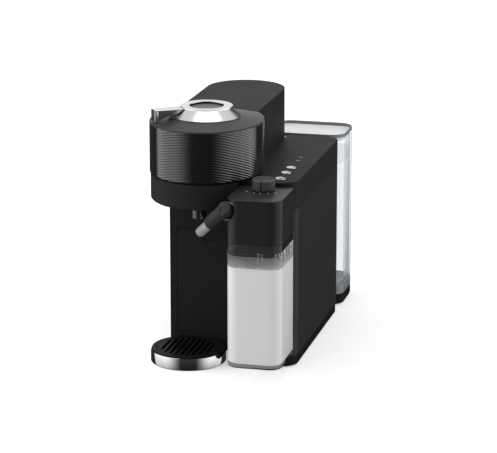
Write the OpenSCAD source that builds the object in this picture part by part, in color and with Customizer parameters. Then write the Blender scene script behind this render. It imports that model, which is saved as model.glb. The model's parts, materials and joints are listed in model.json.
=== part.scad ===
// Pod coffee machine with a plug-in milk jug: a tower with a lift-up brewing head,
// a side block that carries the jug, a rear water tank and a round drip tray.
// Millimetres, +X right, +Y to the rear, +Z up. The table is z = 0 and the origin
// is the centre of the footprint. Inside the file x = 0 is the middle of the tower
// and y = 0 is the front face of the side block.

/* [Tower] */
// Width of the tower behind the brewing head
tower_w = 96.6; // [94:0.2:100]
// Height of the tower's flat top
tower_h = 285.7; // [280:0.1:296]
// Depth of the column's front face, behind the cup
column_y = 44; // [42:0.5:48]
// Thickness of the moulded casings
wall = 2.5; // [2:0.1:3]
// Thickness of the tower's top cover
top_t = 5; // [5:0.5:6]

/* [Side block] */
// Width of the side block
block_w = 66.3; // [64:0.1:72]
// Depth of the side block
block_d = 245.6; // [240:0.2:248]
// How far before the block's rear the tower's round back begins
arc_in = 23.2; // [19:0.2:31]
// Radius of the block's outer front edge
block_front_r = 21; // [15:1:24]
// Radius of the block's outer rear edge
block_rear_r = 14; // [8:1:18]
// Height of the deck cover above the seam
deck_cap_h = 32.6; // [31:0.2:36]
// How far the deck lies below the top of the brew housing
deck_step = 0.8; // [0.6:0.1:2]

/* [Base] */
// Height of the dark plinth
plinth_h = 13; // [11:0.5:16]
// How far the plinth stands back from the casings
plinth_inset = 1; // [0.5:0.1:2]
// Thickness of the base plate
plate_t = 3; // [2.5:0.1:4]
// Height of the rubber feet below the base plate
foot_h = 1.5; // [1.2:0.1:2.5]
// Radius of a rubber foot
foot_r = 7; // [5:0.5:9]

/* [Brewing head] */
// Width of the oval head
head_w = 133; // [128:1:138]
// Depth of the full oval of the head
head_d = 151.2; // [148:0.2:154]
// Depth of the oval's centre
head_y = 36.3; // [35:0.1:37]
// Height of the head's side
head_h = 61; // [58:0.5:64]
// Thickness of the ribbed front panel
panel_t = 2.5; // [2:0.1:3]
// Height of the brew housing below the head
housing_h = 30; // [30:0.5:33]
// How far the brew housing stands back from the head
housing_inset = 1.1; // [0.6:0.1:3]
// Gap between the head and the brew housing
head_gap = 1; // [0.8:0.1:1.5]
// Height that the head's rim rises towards the dial
rim_rise = 4.6; // [3.5:0.1:5.2]
// Radius of the hinge knuckles
knuckle_r = 3; // [2.6:0.1:3.4]
// Radius of the hinge pin
hinge_pin_r = 1.5; // [1.2:0.1:1.7]

/* [Dial and lever] */
// Depth of the dial's and the capsule's axis
axis_y = 35.5; // [34.5:0.1:36.5]
// Outer radius of the flat dial ring
dial_r = 30.9; // [29:0.1:32]
// Inner radius of the dial ring
dial_hole_r = 19.3; // [18:0.1:20.5]
// Height of the dial ring above the head's side
dial_rise = 16.7; // [15.5:0.1:18]
// Outer radius of the dial's cone
cone_r = 42.5; // [40:0.5:45]
// Reach of the lever from the dial's axis
lever_reach = 65.7; // [60:0.1:66]
// Width of the lever
lever_w = 15; // [12:0.5:18]
// Direction of the lever, left of the front
lever_az = 55.5; // [50:0.5:60]
// Height of the lever's end tab
tab_h = 14; // [11:0.5:14]

/* [Capsule drive] */
// Outer radius of the capsule holder
holder_r = 33; // [31:0.5:34]
// Radius of the holder's pulley
holder_pulley_r = 15; // [13:0.5:16]
// Radius of the motor's pulley
motor_pulley_r = 7; // [6:0.5:8]
// Distance from the capsule axis to the motor axis
belt_span = 34.5; // [34:0.5:38]
// Thickness of the belt
belt_t = 1.4; // [1:0.1:1.8]
// Radius of the spin motor
motor_r = 17; // [15:0.5:18]
// Height of the spin motor
motor_h = 34; // [30:0.5:35]

/* [Coffee outlet] */
// Radius of the outlet nozzle
outlet_r = 8.5; // [7:0.5:10]
// How far the outlet hangs below the brew housing
outlet_drop = 22; // [18:0.5:24]
// Outlet position left of the capsule axis
outlet_x = -4; // [-6:0.5:0]
// Outlet position in front of the capsule axis
outlet_forward = 20.5; // [20:0.5:24]

/* [Drip tray] */
// Radius of the round tray
tray_r = 44.5; // [42:0.5:46]
// Height of the tray
tray_h = 16.5; // [15:0.5:18]
// Position of the tray left of the tower's middle
tray_x = -15.4; // [-17:0.2:-14]
// Position of the tray's centre in depth
tray_y = 4.9; // [3:0.1:5.5]
// Width of the tray's flat rim
tray_rim = 6.5; // [6:0.5:9]

/* [Used capsule bin] */
// Width of the bin
bin_w = 78; // [70:1:82]
// Depth of the bin
bin_d = 66; // [58:1:68]
// Height of the bin
bin_h = 128; // [100:1:129]
// Height of the bin's underside
bin_z = 22; // [21:0.5:24]
// Thickness of the bin's walls
bin_wall = 2; // [1.6:0.1:3]

/* [Milk jug] */
// Width of the jug
jug_w = 64.6; // [60:0.2:64.6]
// Depth of the jug
jug_d = 71.6; // [66:0.2:76]
// Height of the jug's underside above the table
jug_z = 20; // [18:0.5:26]
// Height of the milk lid
lid_h = 52.4; // [50:0.2:54]
// How far the lid lies below the deck
lid_step = 4.2; // [3:0.1:6]
// Radius of the jug's front edges
jug_front_r = 15; // [12:0.5:18]
// Radius of the jug's rear edges
jug_rear_r = 4; // [3:0.5:6]
// Thickness of the jug's wall
jug_wall = 2; // [1.6:0.1:2.6]
// Thickness of the jug's floor
jug_floor = 5; // [4:0.5:7]
// Depth of the lid's skirt inside the jug
skirt_h = 9; // [7:0.5:12]
// Radius of the froth knob
knob_r = 13.3; // [11:0.1:14]
// Height of the froth knob above the lid
knob_h = 13; // [10:0.5:15]
// Outer radius of the milk connector
plug_r = 5; // [4.5:0.1:5.5]

/* [Milk spout] */
// Position of the spout's swivel from the jug's left face
swivel_in = -1.4; // [-2:0.1:0]
// Depth of the swivel's end cap
swivel_y = -71; // [-72:0.2:-68]
// Height of the swivel's end cap below the lid's top
swivel_down = 10.5; // [10:0.5:12]
// Upward tilt of the swivel's axis
swivel_tilt = 30; // [25:1:35]
// Sideways turn of the swivel's axis, left of the front
swivel_turn = 20; // [15:1:25]
// Radius of the spout's tube
spout_r = 8.2; // [7.5:0.1:8.6]
// Radius of the metal nozzle
nozzle_r = 5.4; // [4.8:0.1:6]
// Length of the spout from the swivel to the tip
spout_len = 76; // [70:1:80]
// Share of the spout that is plastic tube
tube_share = 0.58; // [0.5:0.01:0.65]
// Radius of the collar on the lid's corner
collar_r = 11.5; // [10:0.5:12.5]

/* [Water tank] */
// Position of the tank's left face
tank_x = 18.3; // [16:0.1:20]
// Width of the tank
tank_w = 97.6; // [94:0.2:102]
// Gap between the side block and the tank
tank_gap = 13.4; // [13:0.1:18]
// Depth of the tank
tank_d = 73; // [66:0.5:78]
// Thickness of the tank's wall
tank_wall = 2.2; // [1.8:0.1:3]
// Radius of the tank's corners
tank_r = 19; // [16:0.5:22]
// Radius of the tank's corner beside the tower
tank_tower_r = 24; // [23:0.5:28]
// Height of the black dock under the tank
dock_h = 14.5; // [13:0.5:17]
// Height of the tank's foot band
band_h = 12; // [9:0.5:14]
// Thickness of the tank's lid
tank_lid_t = 5; // [4:0.5:7]

/* [Deck buttons] */
// Radius of a deck button
button_r = 6.4; // [5.5:0.1:7]
// Position of the buttons, right of the tower's middle
button_x = 91.3; // [88:0.1:94]
// Depths of the three buttons
button_y = [22, 51.5, 77.3]; // [10:0.1:90]
// Travel of a button
button_travel = 1; // [0.6:0.1:1.4]

/* [Hidden] */

// Clearances: between casings of one body, between moving bodies, and of a shaft in its bore
seat = 0.1;
gap = 0.4;
run = 0.05;
facets = 72;      // sides of the head's oval
round_fn = 64;    // any value above 12 is a true circle
dial_fn = 96;     // sides of the turned cones
over = 1;         // cuts run this far past a face

// Levels, from the top of the tower down
head_top = tower_h + 0.3;
head_z = head_top - head_h;
housing_top = head_z - head_gap;
housing_z = housing_top - housing_h;
deck_z = housing_top - deck_step;
seam_z = deck_z - deck_cap_h;
lid_top = deck_z - lid_step;
lid_z = lid_top - lid_h;
plate_z = foot_h + plate_t;
tank_top = deck_z - gap;

// Plan positions
tower_x = tower_w / 2;
arc_y = block_d - arc_in;
tower_face = head_y + head_d / 2 * sqrt(1 - pow(tower_w / head_w, 2)) + gap;
block_right = tower_x + block_w;
jug_x = tower_x + 0.6;
jug_gap = 0.8;
tank_y = block_d + tank_gap;
hinge_y = tower_face - 0.2;
hinge_z = tower_h - knuckle_r;
hinge_r = knuckle_r + 0.3;
hinge_half = 32;
hinge_split = 24;
motor_y = axis_y + belt_span;

// The milk spout: the swivel's axis points forward, left and up, and the tube leaves it
// downwards, backwards and to the left
swivel = [jug_x + swivel_in, swivel_y, lid_top - swivel_down];
swivel_dir = [-cos(swivel_tilt) * sin(swivel_turn), -cos(swivel_tilt) * cos(swivel_turn), sin(swivel_tilt)];
hub_len = 10.5;
hub_pin_r = 4;
tube_len = spout_len * tube_share;
tube_start = swivel - 5 * swivel_dir;
spout_dir = [-0.560, 0.620, -0.550];

// The footprint's centre, which is the origin
x_low = -head_w / 2;
x_high = tank_x + tank_w;
y_low = min(swivel_y - spout_r * sqrt(1 - pow(swivel_dir.y, 2)), -jug_d - jug_gap);
y_high = tank_y + tank_d;
origin = [(x_low + x_high) / 2, (y_low + y_high) / 2, 0];

// ---- Shared shapes ----

module place() {
    translate(-origin) children();
}

module slab(z0, z1) {
    translate([0, 0, z0]) linear_extrude(z1 - z0) children();
}

module rod(from, r, z0, z1) {
    translate([from.x, from.y, z0]) cylinder(r = r, h = z1 - z0, $fn = round_fn);
}

// A cylinder from one point towards a direction
module aimed(from, dir, len, r) {
    yaw = atan2(dir.y, dir.x);
    tilt = acos(dir.z / norm(dir));
    translate(from) rotate([0, tilt, yaw]) cylinder(r = r, h = len, $fn = round_fn);
}

// A rectangle whose corners are true arcs: front left, front right, rear right, rear left
module corner_rect(lo, hi, r) {
    difference() {
        translate(lo) square(hi - lo);
        translate(lo) square(r[0]);
        translate([hi.x - r[1], lo.y]) square(r[1]);
        translate([hi.x - r[2], hi.y - r[2]]) square(r[2]);
        translate([lo.x, hi.y - r[3]]) square(r[3]);
    }
    translate([lo.x + r[0], lo.y + r[0]]) circle(r[0], $fn = round_fn);
    translate([hi.x - r[1], lo.y + r[1]]) circle(r[1], $fn = round_fn);
    translate([hi.x - r[2], hi.y - r[2]]) circle(r[2], $fn = round_fn);
    translate([lo.x + r[3], hi.y - r[3]]) circle(r[3], $fn = round_fn);
}

function oval(rx, ry) = [for (i = [0:facets - 1]) [rx * cos(360 * i / facets), ry * sin(360 * i / facets)]];

module head_plan(inset = 0) {
    translate([0, head_y]) polygon(oval(head_w / 2 - inset, head_d / 2 - inset));
}

module tower_plan(front, inset = 0) {
    half = tower_x - inset;
    translate([-half, front]) square([2 * half, arc_y - front]);
    translate([0, arc_y]) circle(half, $fn = round_fn);
}

module block_plan(inset = 0) {
    inner_r = 4;
    corner_rect([tower_x + inset, inset], [block_right - inset, block_d - inset],
        [inner_r, block_front_r - inset, block_rear_r - inset, inner_r]);
}

module tank_plan(inset = 0) {
    corner_rect([tank_x + inset, tank_y + inset], [tank_x + tank_w - inset, tank_y + tank_d - inset],
        [tank_tower_r - inset, tank_r - inset, tank_r - inset, tank_r - inset]);
}

module jug_plan(inset = 0) {
    corner_rect([jug_x + inset, -jug_gap - jug_d + inset], [jug_x + jug_w - inset, -jug_gap - inset],
        [jug_front_r - inset, jug_front_r - inset, max(jug_rear_r - inset, 1), max(jug_rear_r - inset, 1)]);
}

// Tower and block joined into one outline
module machine_plan(inset = 0) {
    tower_plan(column_y + inset, inset);
    block_plan(inset);
    translate([0, column_y + inset]) square([tower_x + block_w / 2, arc_y - column_y - 20]);
}

// The bridge from the side block to the tank's dock, from a depth to the dock's inside
bridge_in = 14;
bridge_w = block_w - 40;
bridge_lap = 20;
module bridge_plan(front) {
    translate([tower_x + bridge_in, front]) square([bridge_w, tank_y + bridge_lap - front]);
}

// Way through the inner walls for hoses and wires between the tower and the block
way_w = 60;
way_z = 60;
module way_through() {
    translate([tower_x - wall - over, frame_y + 33, way_z]) cube([2 * (wall + over), way_w, way_w]);
}

module tray_recess(z1) {
    rod([tray_x, tray_y], tray_r + gap, -over, z1);
}

foot_in = 14;         // a foot's distance from a straight side
foot_corner = 20;     // and from a round corner
function foot_spots() = [
    [-tower_x + foot_in, column_y + foot_in + 2],
    [-tower_x + 2 * foot_in + 2, arc_y + foot_in],
    [tower_x + foot_in, foot_corner],
    [block_right - foot_corner, foot_corner + foot_in],
    [block_right - foot_corner + 2, block_d - foot_corner - 10],
    [tank_x + foot_corner + foot_in, tank_y + tank_d - foot_corner + 2],
    [tank_x + tank_w - foot_corner, tank_y + tank_d - foot_corner]
];

// ---- Base ----

module base_plate() {
    color("#1b1c1e") difference() {
        slab(foot_h, plate_z) union() {
            machine_plan(plinth_inset);
            bridge_plan(block_d - bridge_lap);
            tank_plan(plinth_inset);
        }
        tray_recess(plate_z + over);
        for (p = foot_spots()) rod(p, foot_r + seat, foot_h - over, foot_h + plate_t / 2);
        for (p = screw_spots()) rod(p, screw_r + seat, foot_h - over, plate_z + over);
    }
}

module rubber_feet() {
    bevel = 0.6;
    color("#101010") for (p = foot_spots()) {
        rod(p, foot_r - 1, 0, bevel);
        rod(p, foot_r, bevel, foot_h + plate_t / 2);
    }
}

module plinth() {
    color("#141516") difference() {
        slab(plate_z, plinth_h) machine_plan(plinth_inset);
        slab(plate_z - over, plinth_h + over) machine_plan(plinth_inset + wall);
        tray_recess(plinth_h + over);
        // way out for the hose from the tank's dock
        translate([dock_at.x - hose_way / 2, block_d - 2 * wall, plate_z - over])
            cube([hose_way, 4 * wall, hose_way]);
    }
}

screw_r = 1.6;
screw_head_r = 3;
screw_head_h = 1.3;
screw_in = 12;
function screw_spots() = [
    [-tower_x + screw_in, frame_y + 3 * screw_in],
    [tower_x - 2 * screw_in / 3, frame_y + screw_in],
    [block_right - screw_in, frame_y + screw_in],
    [tower_x + screw_in, arc_y - screw_in]
];

module base_screws() {
    color("#8f9296") for (p = screw_spots()) {
        rod(p, screw_r, foot_h, plinth_h - 2);
        rod(p, screw_head_r, foot_h - screw_head_h, foot_h);
    }
}

// ---- Tower ----

module tower_shell() {
    cover_z = tower_h - top_t;
    color("#26282a") difference() {
        union() {
            slab(plinth_h, housing_z) tower_plan(column_y);
            slab(housing_z, cover_z) tower_plan(tower_face);
        }
        slab(plinth_h - over, cover_z + over) tower_plan(-over, wall);
        way_through();
        // power inlet in the left wall
        inlet_body(seat);
    }
}

module column_front() {
    half = tower_x - wall;
    color("#242628") difference() {
        translate([-half, column_y, plinth_h]) cube([2 * half, wall, housing_z - plinth_h]);
        translate([-bin_w / 2 - gap, column_y - over, bin_z - gap])
            cube([bin_w + 2 * gap, wall + 2 * over, bin_h + 2 * gap]);
        tray_recess(tray_h + gap);
    }
}

module tower_front() {
    half = tower_x - wall;
    color("#222426") difference() {
        translate([-half, tower_face, housing_z]) cube([2 * half, wall, tower_h - top_t - housing_z]);
        hinge_cut(hinge_half + gap);
    }
}

// Room around the hinge's knuckles
module hinge_cut(half) {
    translate([-half, hinge_y, hinge_z]) rotate([0, 90, 0]) cylinder(r = hinge_r, h = 2 * half, $fn = round_fn);
}

module knuckle(x0, x1, bore) {
    difference() {
        translate([x0, hinge_y, hinge_z]) rotate([0, 90, 0])
            cylinder(r = knuckle_r, h = x1 - x0, $fn = round_fn);
        translate([x0 - over, hinge_y, hinge_z]) rotate([0, 90, 0])
            cylinder(r = bore, h = x1 - x0 + 2 * over, $fn = round_fn);
    }
}

module tower_top() {
    cover_z = tower_h - top_t;
    color("#2b2d30") {
        difference() {
            slab(cover_z, tower_h) tower_plan(tower_face);
            hinge_cut(hinge_half);
        }
        for (x = [-hinge_half, hinge_split]) {
            knuckle(x, x + hinge_half - hinge_split, hinge_pin_r + run / 2);
            translate([x, hinge_y + hinge_pin_r + 1, cover_z])
                cube([hinge_half - hinge_split, hinge_r, knuckle_r + 1]);
        }
    }
}

module hinge_pin() {
    color("#b9bcc0") translate([-hinge_half, hinge_y, hinge_z]) rotate([0, 90, 0])
        cylinder(r = hinge_pin_r, h = 2 * hinge_half, $fn = round_fn);
}

// ---- Side block ----

module block_shell() {
    color("#26282a") difference() {
        slab(plinth_h, seam_z) block_plan();
        slab(plinth_h - over, seam_z + over) block_plan(wall);
        way_through();
    }
}

deck_t = 3;
socket_z = lid_top - 14;
function plug_x() = jug_x + jug_w / 2 - 8;
socket_wall = 4;

module deck_cap() {
    color("#2b2d30") difference() {
        slab(seam_z, deck_z) block_plan();
        slab(seam_z - over, deck_z - deck_t) block_plan(wall);
        for (y = button_y) rod([button_x, y], button_r + gap, deck_z - deck_t - over, deck_z + over);
        translate([plug_x(), -over, socket_z]) rotate([-90, 0, 0])
            cylinder(r = plug_r + socket_wall + seat, h = wall + 2 * over, $fn = round_fn);
    }
}

socket_depth = 20;
socket_end = socket_depth + 4;
module milk_socket() {
    collar = [plug_r + socket_wall + 3, 2];
    color("#1a1a1b") translate([plug_x(), 0, socket_z]) rotate([-90, 0, 0]) difference() {
        union() {
            cylinder(r = plug_r + socket_wall, h = socket_end, $fn = round_fn);
            translate([0, 0, wall + seat]) cylinder(r = collar[0], h = collar[1], $fn = round_fn);
        }
        translate([0, 0, -over]) cylinder(r = plug_r + run, h = socket_depth + over, $fn = round_fn);
    }
}

board_z = deck_z - 18.5;
board_t = 1.6;
switch_h = 4;
switch_w = 6;
board_in = 6;
board_d = 108;
post_r = 3;
post_in = 4;
chip = [16, 26, 8];
module control_board() {
    x0 = tower_x + wall + board_in;
    y0 = column_y + 2;
    board_w = block_w - 2 * (wall + board_in);
    tongue_x = plug_x() + plug_r + socket_wall + 2;
    posts = [for (x = [x0 + post_in, x0 + board_w - post_r - 0.2], y = [y0 + post_in, y0 + board_d - post_in])
        [x, y]];
    color("#1f5a34") difference() {
        union() {
            translate([x0, y0, board_z]) cube([board_w, board_d, board_t]);
            translate([tongue_x, button_y[0] - 8, board_z]) cube([x0 + board_w - tongue_x, y0, board_t]);
        }
        for (p = posts) rod(p, screw_r, board_z - over, board_z + board_t + over);
    }
    // posts that hang the board from the deck
    color("#1f5a34") for (p = posts) rod(p, post_r, board_z + board_t, deck_z - deck_t);
    color("#cfd2d6") for (y = button_y)
        translate([button_x - switch_w / 2, y - switch_w / 2, board_z + board_t])
            cube([switch_w, switch_w, switch_h]);
    color("#303236") translate([x0 + 8, y0 + board_d - 38, board_z + board_t]) cube(chip);
}

button_rise = 0.6;
flange_t = 1.8;
flange_lip = 1.2;
stem_r = 2;
module deck_button(y) {
    flange_top = deck_z - deck_t - gap;
    stem_end = board_z + board_t + switch_h + button_travel + 0.3;
    color("#c9cccf") {
        rod([button_x, y], button_r, flange_top, deck_z + button_rise);
        rod([button_x, y], button_r + flange_lip, flange_top - flange_t, flange_top);
        rod([button_x, y], stem_r, stem_end, flange_top - flange_t);
    }
}

module button_front() { deck_button(button_y[0]); }
module button_middle() { deck_button(button_y[1]); }
module button_rear() { deck_button(button_y[2]); }

// ---- Brew housing and what turns in it ----

floor_t = 3;
housing_wall = 3;
spindle_r = 5;
shaft_r = 2;
deck_plate_t = 3;
outlet_bore = 4;
outlet_mouth = 8;
housing_bevel = 1.2;

// The housing's oval, cut flush at the tower and beside the side block
module housing_cut(inset) {
    intersection() {
        head_plan(housing_inset + inset);
        translate([-head_w, head_y - head_d])
            square([head_w + tower_x - 0.5 - inset, tower_face - inset - head_y + head_d]);
    }
}

module brew_housing() {
    color("#1d1e20") difference() {
        union() {
            slab(housing_z, housing_z + housing_bevel) housing_cut(housing_bevel);
            slab(housing_z + housing_bevel, housing_top) housing_cut(0);
        }
        slab(housing_z + floor_t, housing_top + over) housing_cut(housing_wall);
        rod([0, axis_y], spindle_r + run, housing_z - over, housing_top);
        rod([0, motor_y], shaft_r + 1, housing_z - over, housing_top);
        rod([outlet_x, axis_y - outlet_forward], outlet_bore, housing_z - over, housing_top);
    }
}

module brew_deck() {
    color("#2a2b2d") difference() {
        slab(housing_top - deck_plate_t, housing_top) housing_cut(housing_wall + seat);
        rod([0, axis_y], holder_r + 0.8, housing_top - deck_plate_t - over, housing_top + over);
    }
    // posts that carry the plate on the housing's floor, clear of the turning holder
    color("#2a2b2d") for (side = [-1, 1])
        rod([side * (holder_r - 1.5), head_y - head_d / 4 + 6], post_r,
            housing_z + floor_t, housing_top - deck_plate_t);
}

module coffee_outlet() {
    p = [outlet_x, axis_y - outlet_forward];
    color("#101112") difference() {
        union() {
            rod(p, outlet_r, housing_z - outlet_drop, housing_z);
            rod(p, outlet_r + 3, housing_z - outlet_bore, housing_z);
        }
        rod(p, outlet_bore, housing_z - outlet_drop - over, housing_z + over);
        rod(p, outlet_r - 1.5, housing_z - outlet_drop - over, housing_z - outlet_drop + outlet_mouth);
    }
}

pulley_z = housing_z + floor_t + housing_bevel;
pulley_h = 4;
belt_play = 0.3;
hub_z = pulley_z + pulley_h;
holder_rim_z = housing_top - 2.5;

module capsule_holder() {
    dome_z = hub_z + 2;
    color("#4a4c50") translate([0, axis_y, 0]) {
        rotate_extrude($fn = dial_fn) polygon([
            [0, hub_z], [12, hub_z], [20, dome_z + 3], [holder_r - 3, holder_rim_z - 5],
            [holder_r, holder_rim_z - 2], [holder_r, holder_rim_z], [holder_r - 2.5, holder_rim_z],
            [holder_r - 4.6, holder_rim_z - 4], [18.8, dome_z + 4.6], [11, dome_z], [0, dome_z]]);
        translate([0, 0, housing_z + 0.6]) cylinder(r = spindle_r, h = hub_z - housing_z, $fn = round_fn);
    }
}

module holder_pulley() {
    color("#d8d8d4") difference() {
        rod([0, axis_y], holder_pulley_r, pulley_z, hub_z);
        rod([0, axis_y], spindle_r, pulley_z - over, hub_z + over);
    }
}

module motor_pulley() {
    color("#b9bcc0") {
        rod([0, motor_y], motor_pulley_r, pulley_z, hub_z);
        rod([0, motor_y], shaft_r, motor_top - motor_h / 2, pulley_z);
    }
}

// A flat belt round both pulleys, from two arcs and the tangent lines between them
function tangent_angle() = acos((holder_pulley_r - motor_pulley_r) / belt_span);
function belt_side(extra) = let (
    a = tangent_angle(), big = holder_pulley_r + extra, small = motor_pulley_r + extra) [
    [big * sin(a), axis_y + big * cos(a)], [small * sin(a), motor_y + small * cos(a)],
    [-small * sin(a), motor_y + small * cos(a)], [-big * sin(a), axis_y + big * cos(a)]];

module belt_outline(extra) {
    translate([0, axis_y]) circle(holder_pulley_r + extra, $fn = round_fn);
    translate([0, motor_y]) circle(motor_pulley_r + extra, $fn = round_fn);
    polygon(belt_side(extra));
}

module drive_belt() {
    color("#0c0c0d") slab(pulley_z + gap, hub_z - gap) difference() {
        belt_outline(belt_play + belt_t);
        belt_outline(belt_play);
    }
}

shelf_t = 3;
motor_top = housing_z - 2 - shelf_t;
motor_boss = [6, 2];

module spin_motor() {
    color("#8d9095") difference() {
        union() {
            rod([0, motor_y], motor_r, motor_top - motor_h, motor_top);
            rod([0, motor_y], motor_boss[0], motor_top - motor_h - motor_boss[1], motor_top - motor_h);
        }
        rod([0, motor_y], shaft_r + run, motor_top - motor_h / 2 - 0.5, motor_top + over);
    }
}

// ---- Frame inside the column ----

frame_y = column_y + bin_d + 2;
frame_t = 3;
rail_t = 4;
frame_window = [40, 30];

module inner_frame() {
    half = tower_x - wall - 1;
    rail_z = bin_z - gap;
    rail_front = tray_y + tray_r + gap + 1;
    color("#3a3d42") difference() {
        union() {
            translate([-half, frame_y, plate_z]) cube([2 * half, frame_t, housing_z - 2 - plate_z]);
            translate([-half, column_y + wall, motor_top])
                cube([2 * half, frame_y - column_y - wall + frame_t, shelf_t]);
            translate([-half, rail_front, rail_z - rail_t]) cube([2 * half, frame_y - rail_front + 1, rail_t]);
        }
        rod([0, motor_y], motor_boss[0], motor_top - over, motor_top + shelf_t + over);
        // window for hoses and wires
        translate([-frame_window[0] / 2, frame_y - over, frame_window[1]])
            cube([frame_window[0], frame_t + 2 * over, frame_window[1]]);
    }
}

bin_front = 3;
scoop_r = 14;
module bin_body() {
    difference() {
        translate([-bin_w / 2, column_y, bin_z]) cube([bin_w, bin_d, bin_h]);
        translate([-bin_w / 2 + bin_wall, column_y + bin_front, bin_z + bin_wall])
            cube([bin_w - 2 * bin_wall, bin_d - bin_front - bin_wall, bin_h]);
    }
}

module capsule_bin() {
    color("#1f2022") difference() {
        bin_body();
        // finger scoop at the top of the front
        translate([0, column_y - bin_front - 0.5, bin_z + bin_h]) rotate([-90, 0, 0])
            cylinder(r = scoop_r, h = 5, $fn = round_fn);
    }
}

// ---- Drip tray ----

band_t = 1.2;
band_low = 0.8;
band_high = tray_h - 1.6;
tray_floor = 2;
tray_ledge = 2;
grid_t = 3;

module drip_tray() {
    color("#17181a") difference() {
        rod([tray_x, tray_y], tray_r - band_t, 0, tray_h);
        rod([tray_x, tray_y], tray_r - tray_rim - tray_ledge, tray_floor, tray_h + over);
        rod([tray_x, tray_y], tray_r - tray_rim, tray_h - grid_t, tray_h + over);
    }
}

module tray_band() {
    color("#d9dbde") difference() {
        rod([tray_x, tray_y], tray_r, band_low, band_high);
        rod([tray_x, tray_y], tray_r - band_t, 0, tray_h);
    }
}

module drip_grid() {
    r = tray_r - tray_rim - gap;
    bars = 11;
    pitch = 2 * r / bars;
    rim = 3;
    color("#26282a") difference() {
        rod([tray_x, tray_y], r, tray_h - grid_t, tray_h);
        for (i = [0:bars - 1]) {
            x = -r + pitch * (i + 0.5);
            reach = sqrt(max(pow(r - rim, 2) - pow(abs(x) + pitch / 4, 2), 0));
            if (reach > 2 * rim) translate([tray_x + x - pitch / 4, tray_y - reach, tray_h - grid_t - over])
                cube([pitch / 2, 2 * reach, grid_t + 2 * over]);
        }
    }
}

// ---- Head ----

// Everything of the head ends at the tower's face, and its top edge clears the hinge as it lifts
module head_limit() {
    difference() {
        children();
        translate([-head_w, tower_face - gap, 0]) cube([2 * head_w, head_d, tower_h * 2]);
        hinge_cut(head_w);
        translate([-head_w, hinge_y - 2.8, hinge_z]) cube([2 * head_w, 10, knuckle_r * 4]);
    }
}

rim_z = hinge_z - 4.4;
rim_lip = 1.2;
sleeve_r = 23;
sleeve_drop = 22;
spindle_bore = 6;
web_d = 9;
web_h = knuckle_r + 1.4;
knuckle_play = 0.3;
frame_skin = panel_t + seat;
frame_wall = 2.5;

module ribbed_panel() {
    color("#0b0b0c") head_limit() difference() {
        slab(head_z, head_top - rim_lip) head_plan();
        slab(head_z - over, head_top) head_plan(panel_t);
    }
}

module head_frame() {
    web_x = hinge_split - knuckle_play;
    color("#34373b") {
        head_limit() difference() {
            slab(head_z, rim_z) head_plan(frame_skin);
            // the hollow between the floor, the outer wall and the bearing tower
            difference() {
                slab(head_z + 4, rim_z - 4) intersection() {
                    head_plan(frame_skin + frame_wall);
                    translate([-head_w, -head_d]) square([2 * head_w, head_d + tower_face - gap - 3]);
                }
                rod([0, axis_y], sleeve_r + 5, head_z, head_top);
            }
            rod([0, axis_y], sleeve_r + run, rim_z - sleeve_drop, head_top);
            rod([0, axis_y], spindle_bore + run, head_z - over, rim_z - sleeve_drop + spindle_bore);
            rod([0, axis_y], holder_r + gap, head_z - over, head_z + 3);
        }
        knuckle(-web_x, web_x, hinge_pin_r + run);
        difference() {
            translate([-web_x, hinge_y - web_d, hinge_z - web_h]) cube([2 * web_x, web_d, web_h]);
            hinge_pin_room();
            translate([-head_w, tower_face - gap, 0]) cube([2 * head_w, head_d, hinge_z - knuckle_r]);
        }
    }
}

module hinge_pin_room() {
    translate([-head_w, hinge_y, hinge_z]) rotate([0, 90, 0])
        cylinder(r = hinge_pin_r + run, h = 2 * head_w, $fn = round_fn);
}

module head_rim() {
    seat_z = head_top + rim_rise;
    color("#202224") difference() {
        head_limit() union() {
            slab(rim_z, head_top - rim_lip) head_plan(frame_skin);
            slab(head_top - rim_lip, head_top) head_plan();
            translate([0, axis_y, head_top])
                cylinder(r1 = head_w / 2 - 1.5, r2 = cone_r + 0.5, h = rim_rise, $fn = dial_fn);
        }
        rod([0, axis_y], sleeve_r + gap, rim_z - over, seat_z + over);
        // room for the web of the hinge's knuckle
        translate([-hinge_split, hinge_y - web_d - seat, rim_z - over]) cube([2 * hinge_split, web_d + 3, 20]);
    }
}

needle_r = 0.9;
needle_len = 2.8;
needle_step = 20;
disc_top = head_z + 2.6;
module injection_head() {
    disc_z = holder_rim_z + 0.8;
    color("#c4c7cb") translate([0, axis_y, 0]) {
        rod([0, 0], holder_r - 2, disc_z, disc_top);
        rod([0, 0], spindle_bore, disc_top, rim_z - sleeve_drop + 5);
        for (a = [0:needle_step:359]) rotate([0, 0, a])
            translate([holder_r - 8, 0, disc_z - needle_len])
                cylinder(r = needle_r, h = needle_len + over, $fn = round_fn);
    }
}

// ---- Dial, lever and brew button ----

dial_top = head_top + dial_rise;
ring_t = 3.2;
cone_z = head_top + rim_rise + 0.7;
cone_t = 1.8;
cone_edge = 1.4;
cone_left = 41;
cone_right = 85;

// A pie slice of the plan, between two directions given left of the front
module sector(from, to, r) {
    steps = 12;
    polygon(concat([[0, 0]],
        [for (i = [0:steps]) let (a = -90 - from + (from - to) * i / steps) [r * cos(a), r * sin(a)]]));
}

module dial_ring() {
    color("#dfe1e4") difference() {
        rod([0, axis_y], dial_r, dial_top - ring_t, dial_top);
        rod([0, axis_y], dial_hole_r, dial_top - ring_t - over, dial_top + over);
    }
}

module dial_cone() {
    color("#dfe1e4") translate([0, axis_y, 0]) intersection() {
        rotate_extrude($fn = dial_fn) polygon([
            [dial_r, dial_top - cone_edge], [dial_r, dial_top - ring_t], [cone_r - cone_t, cone_z],
            [cone_r, cone_z]]);
        slab(cone_z - over, dial_top + over) sector(cone_left, -cone_right, 2 * cone_r);
    }
}

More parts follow.
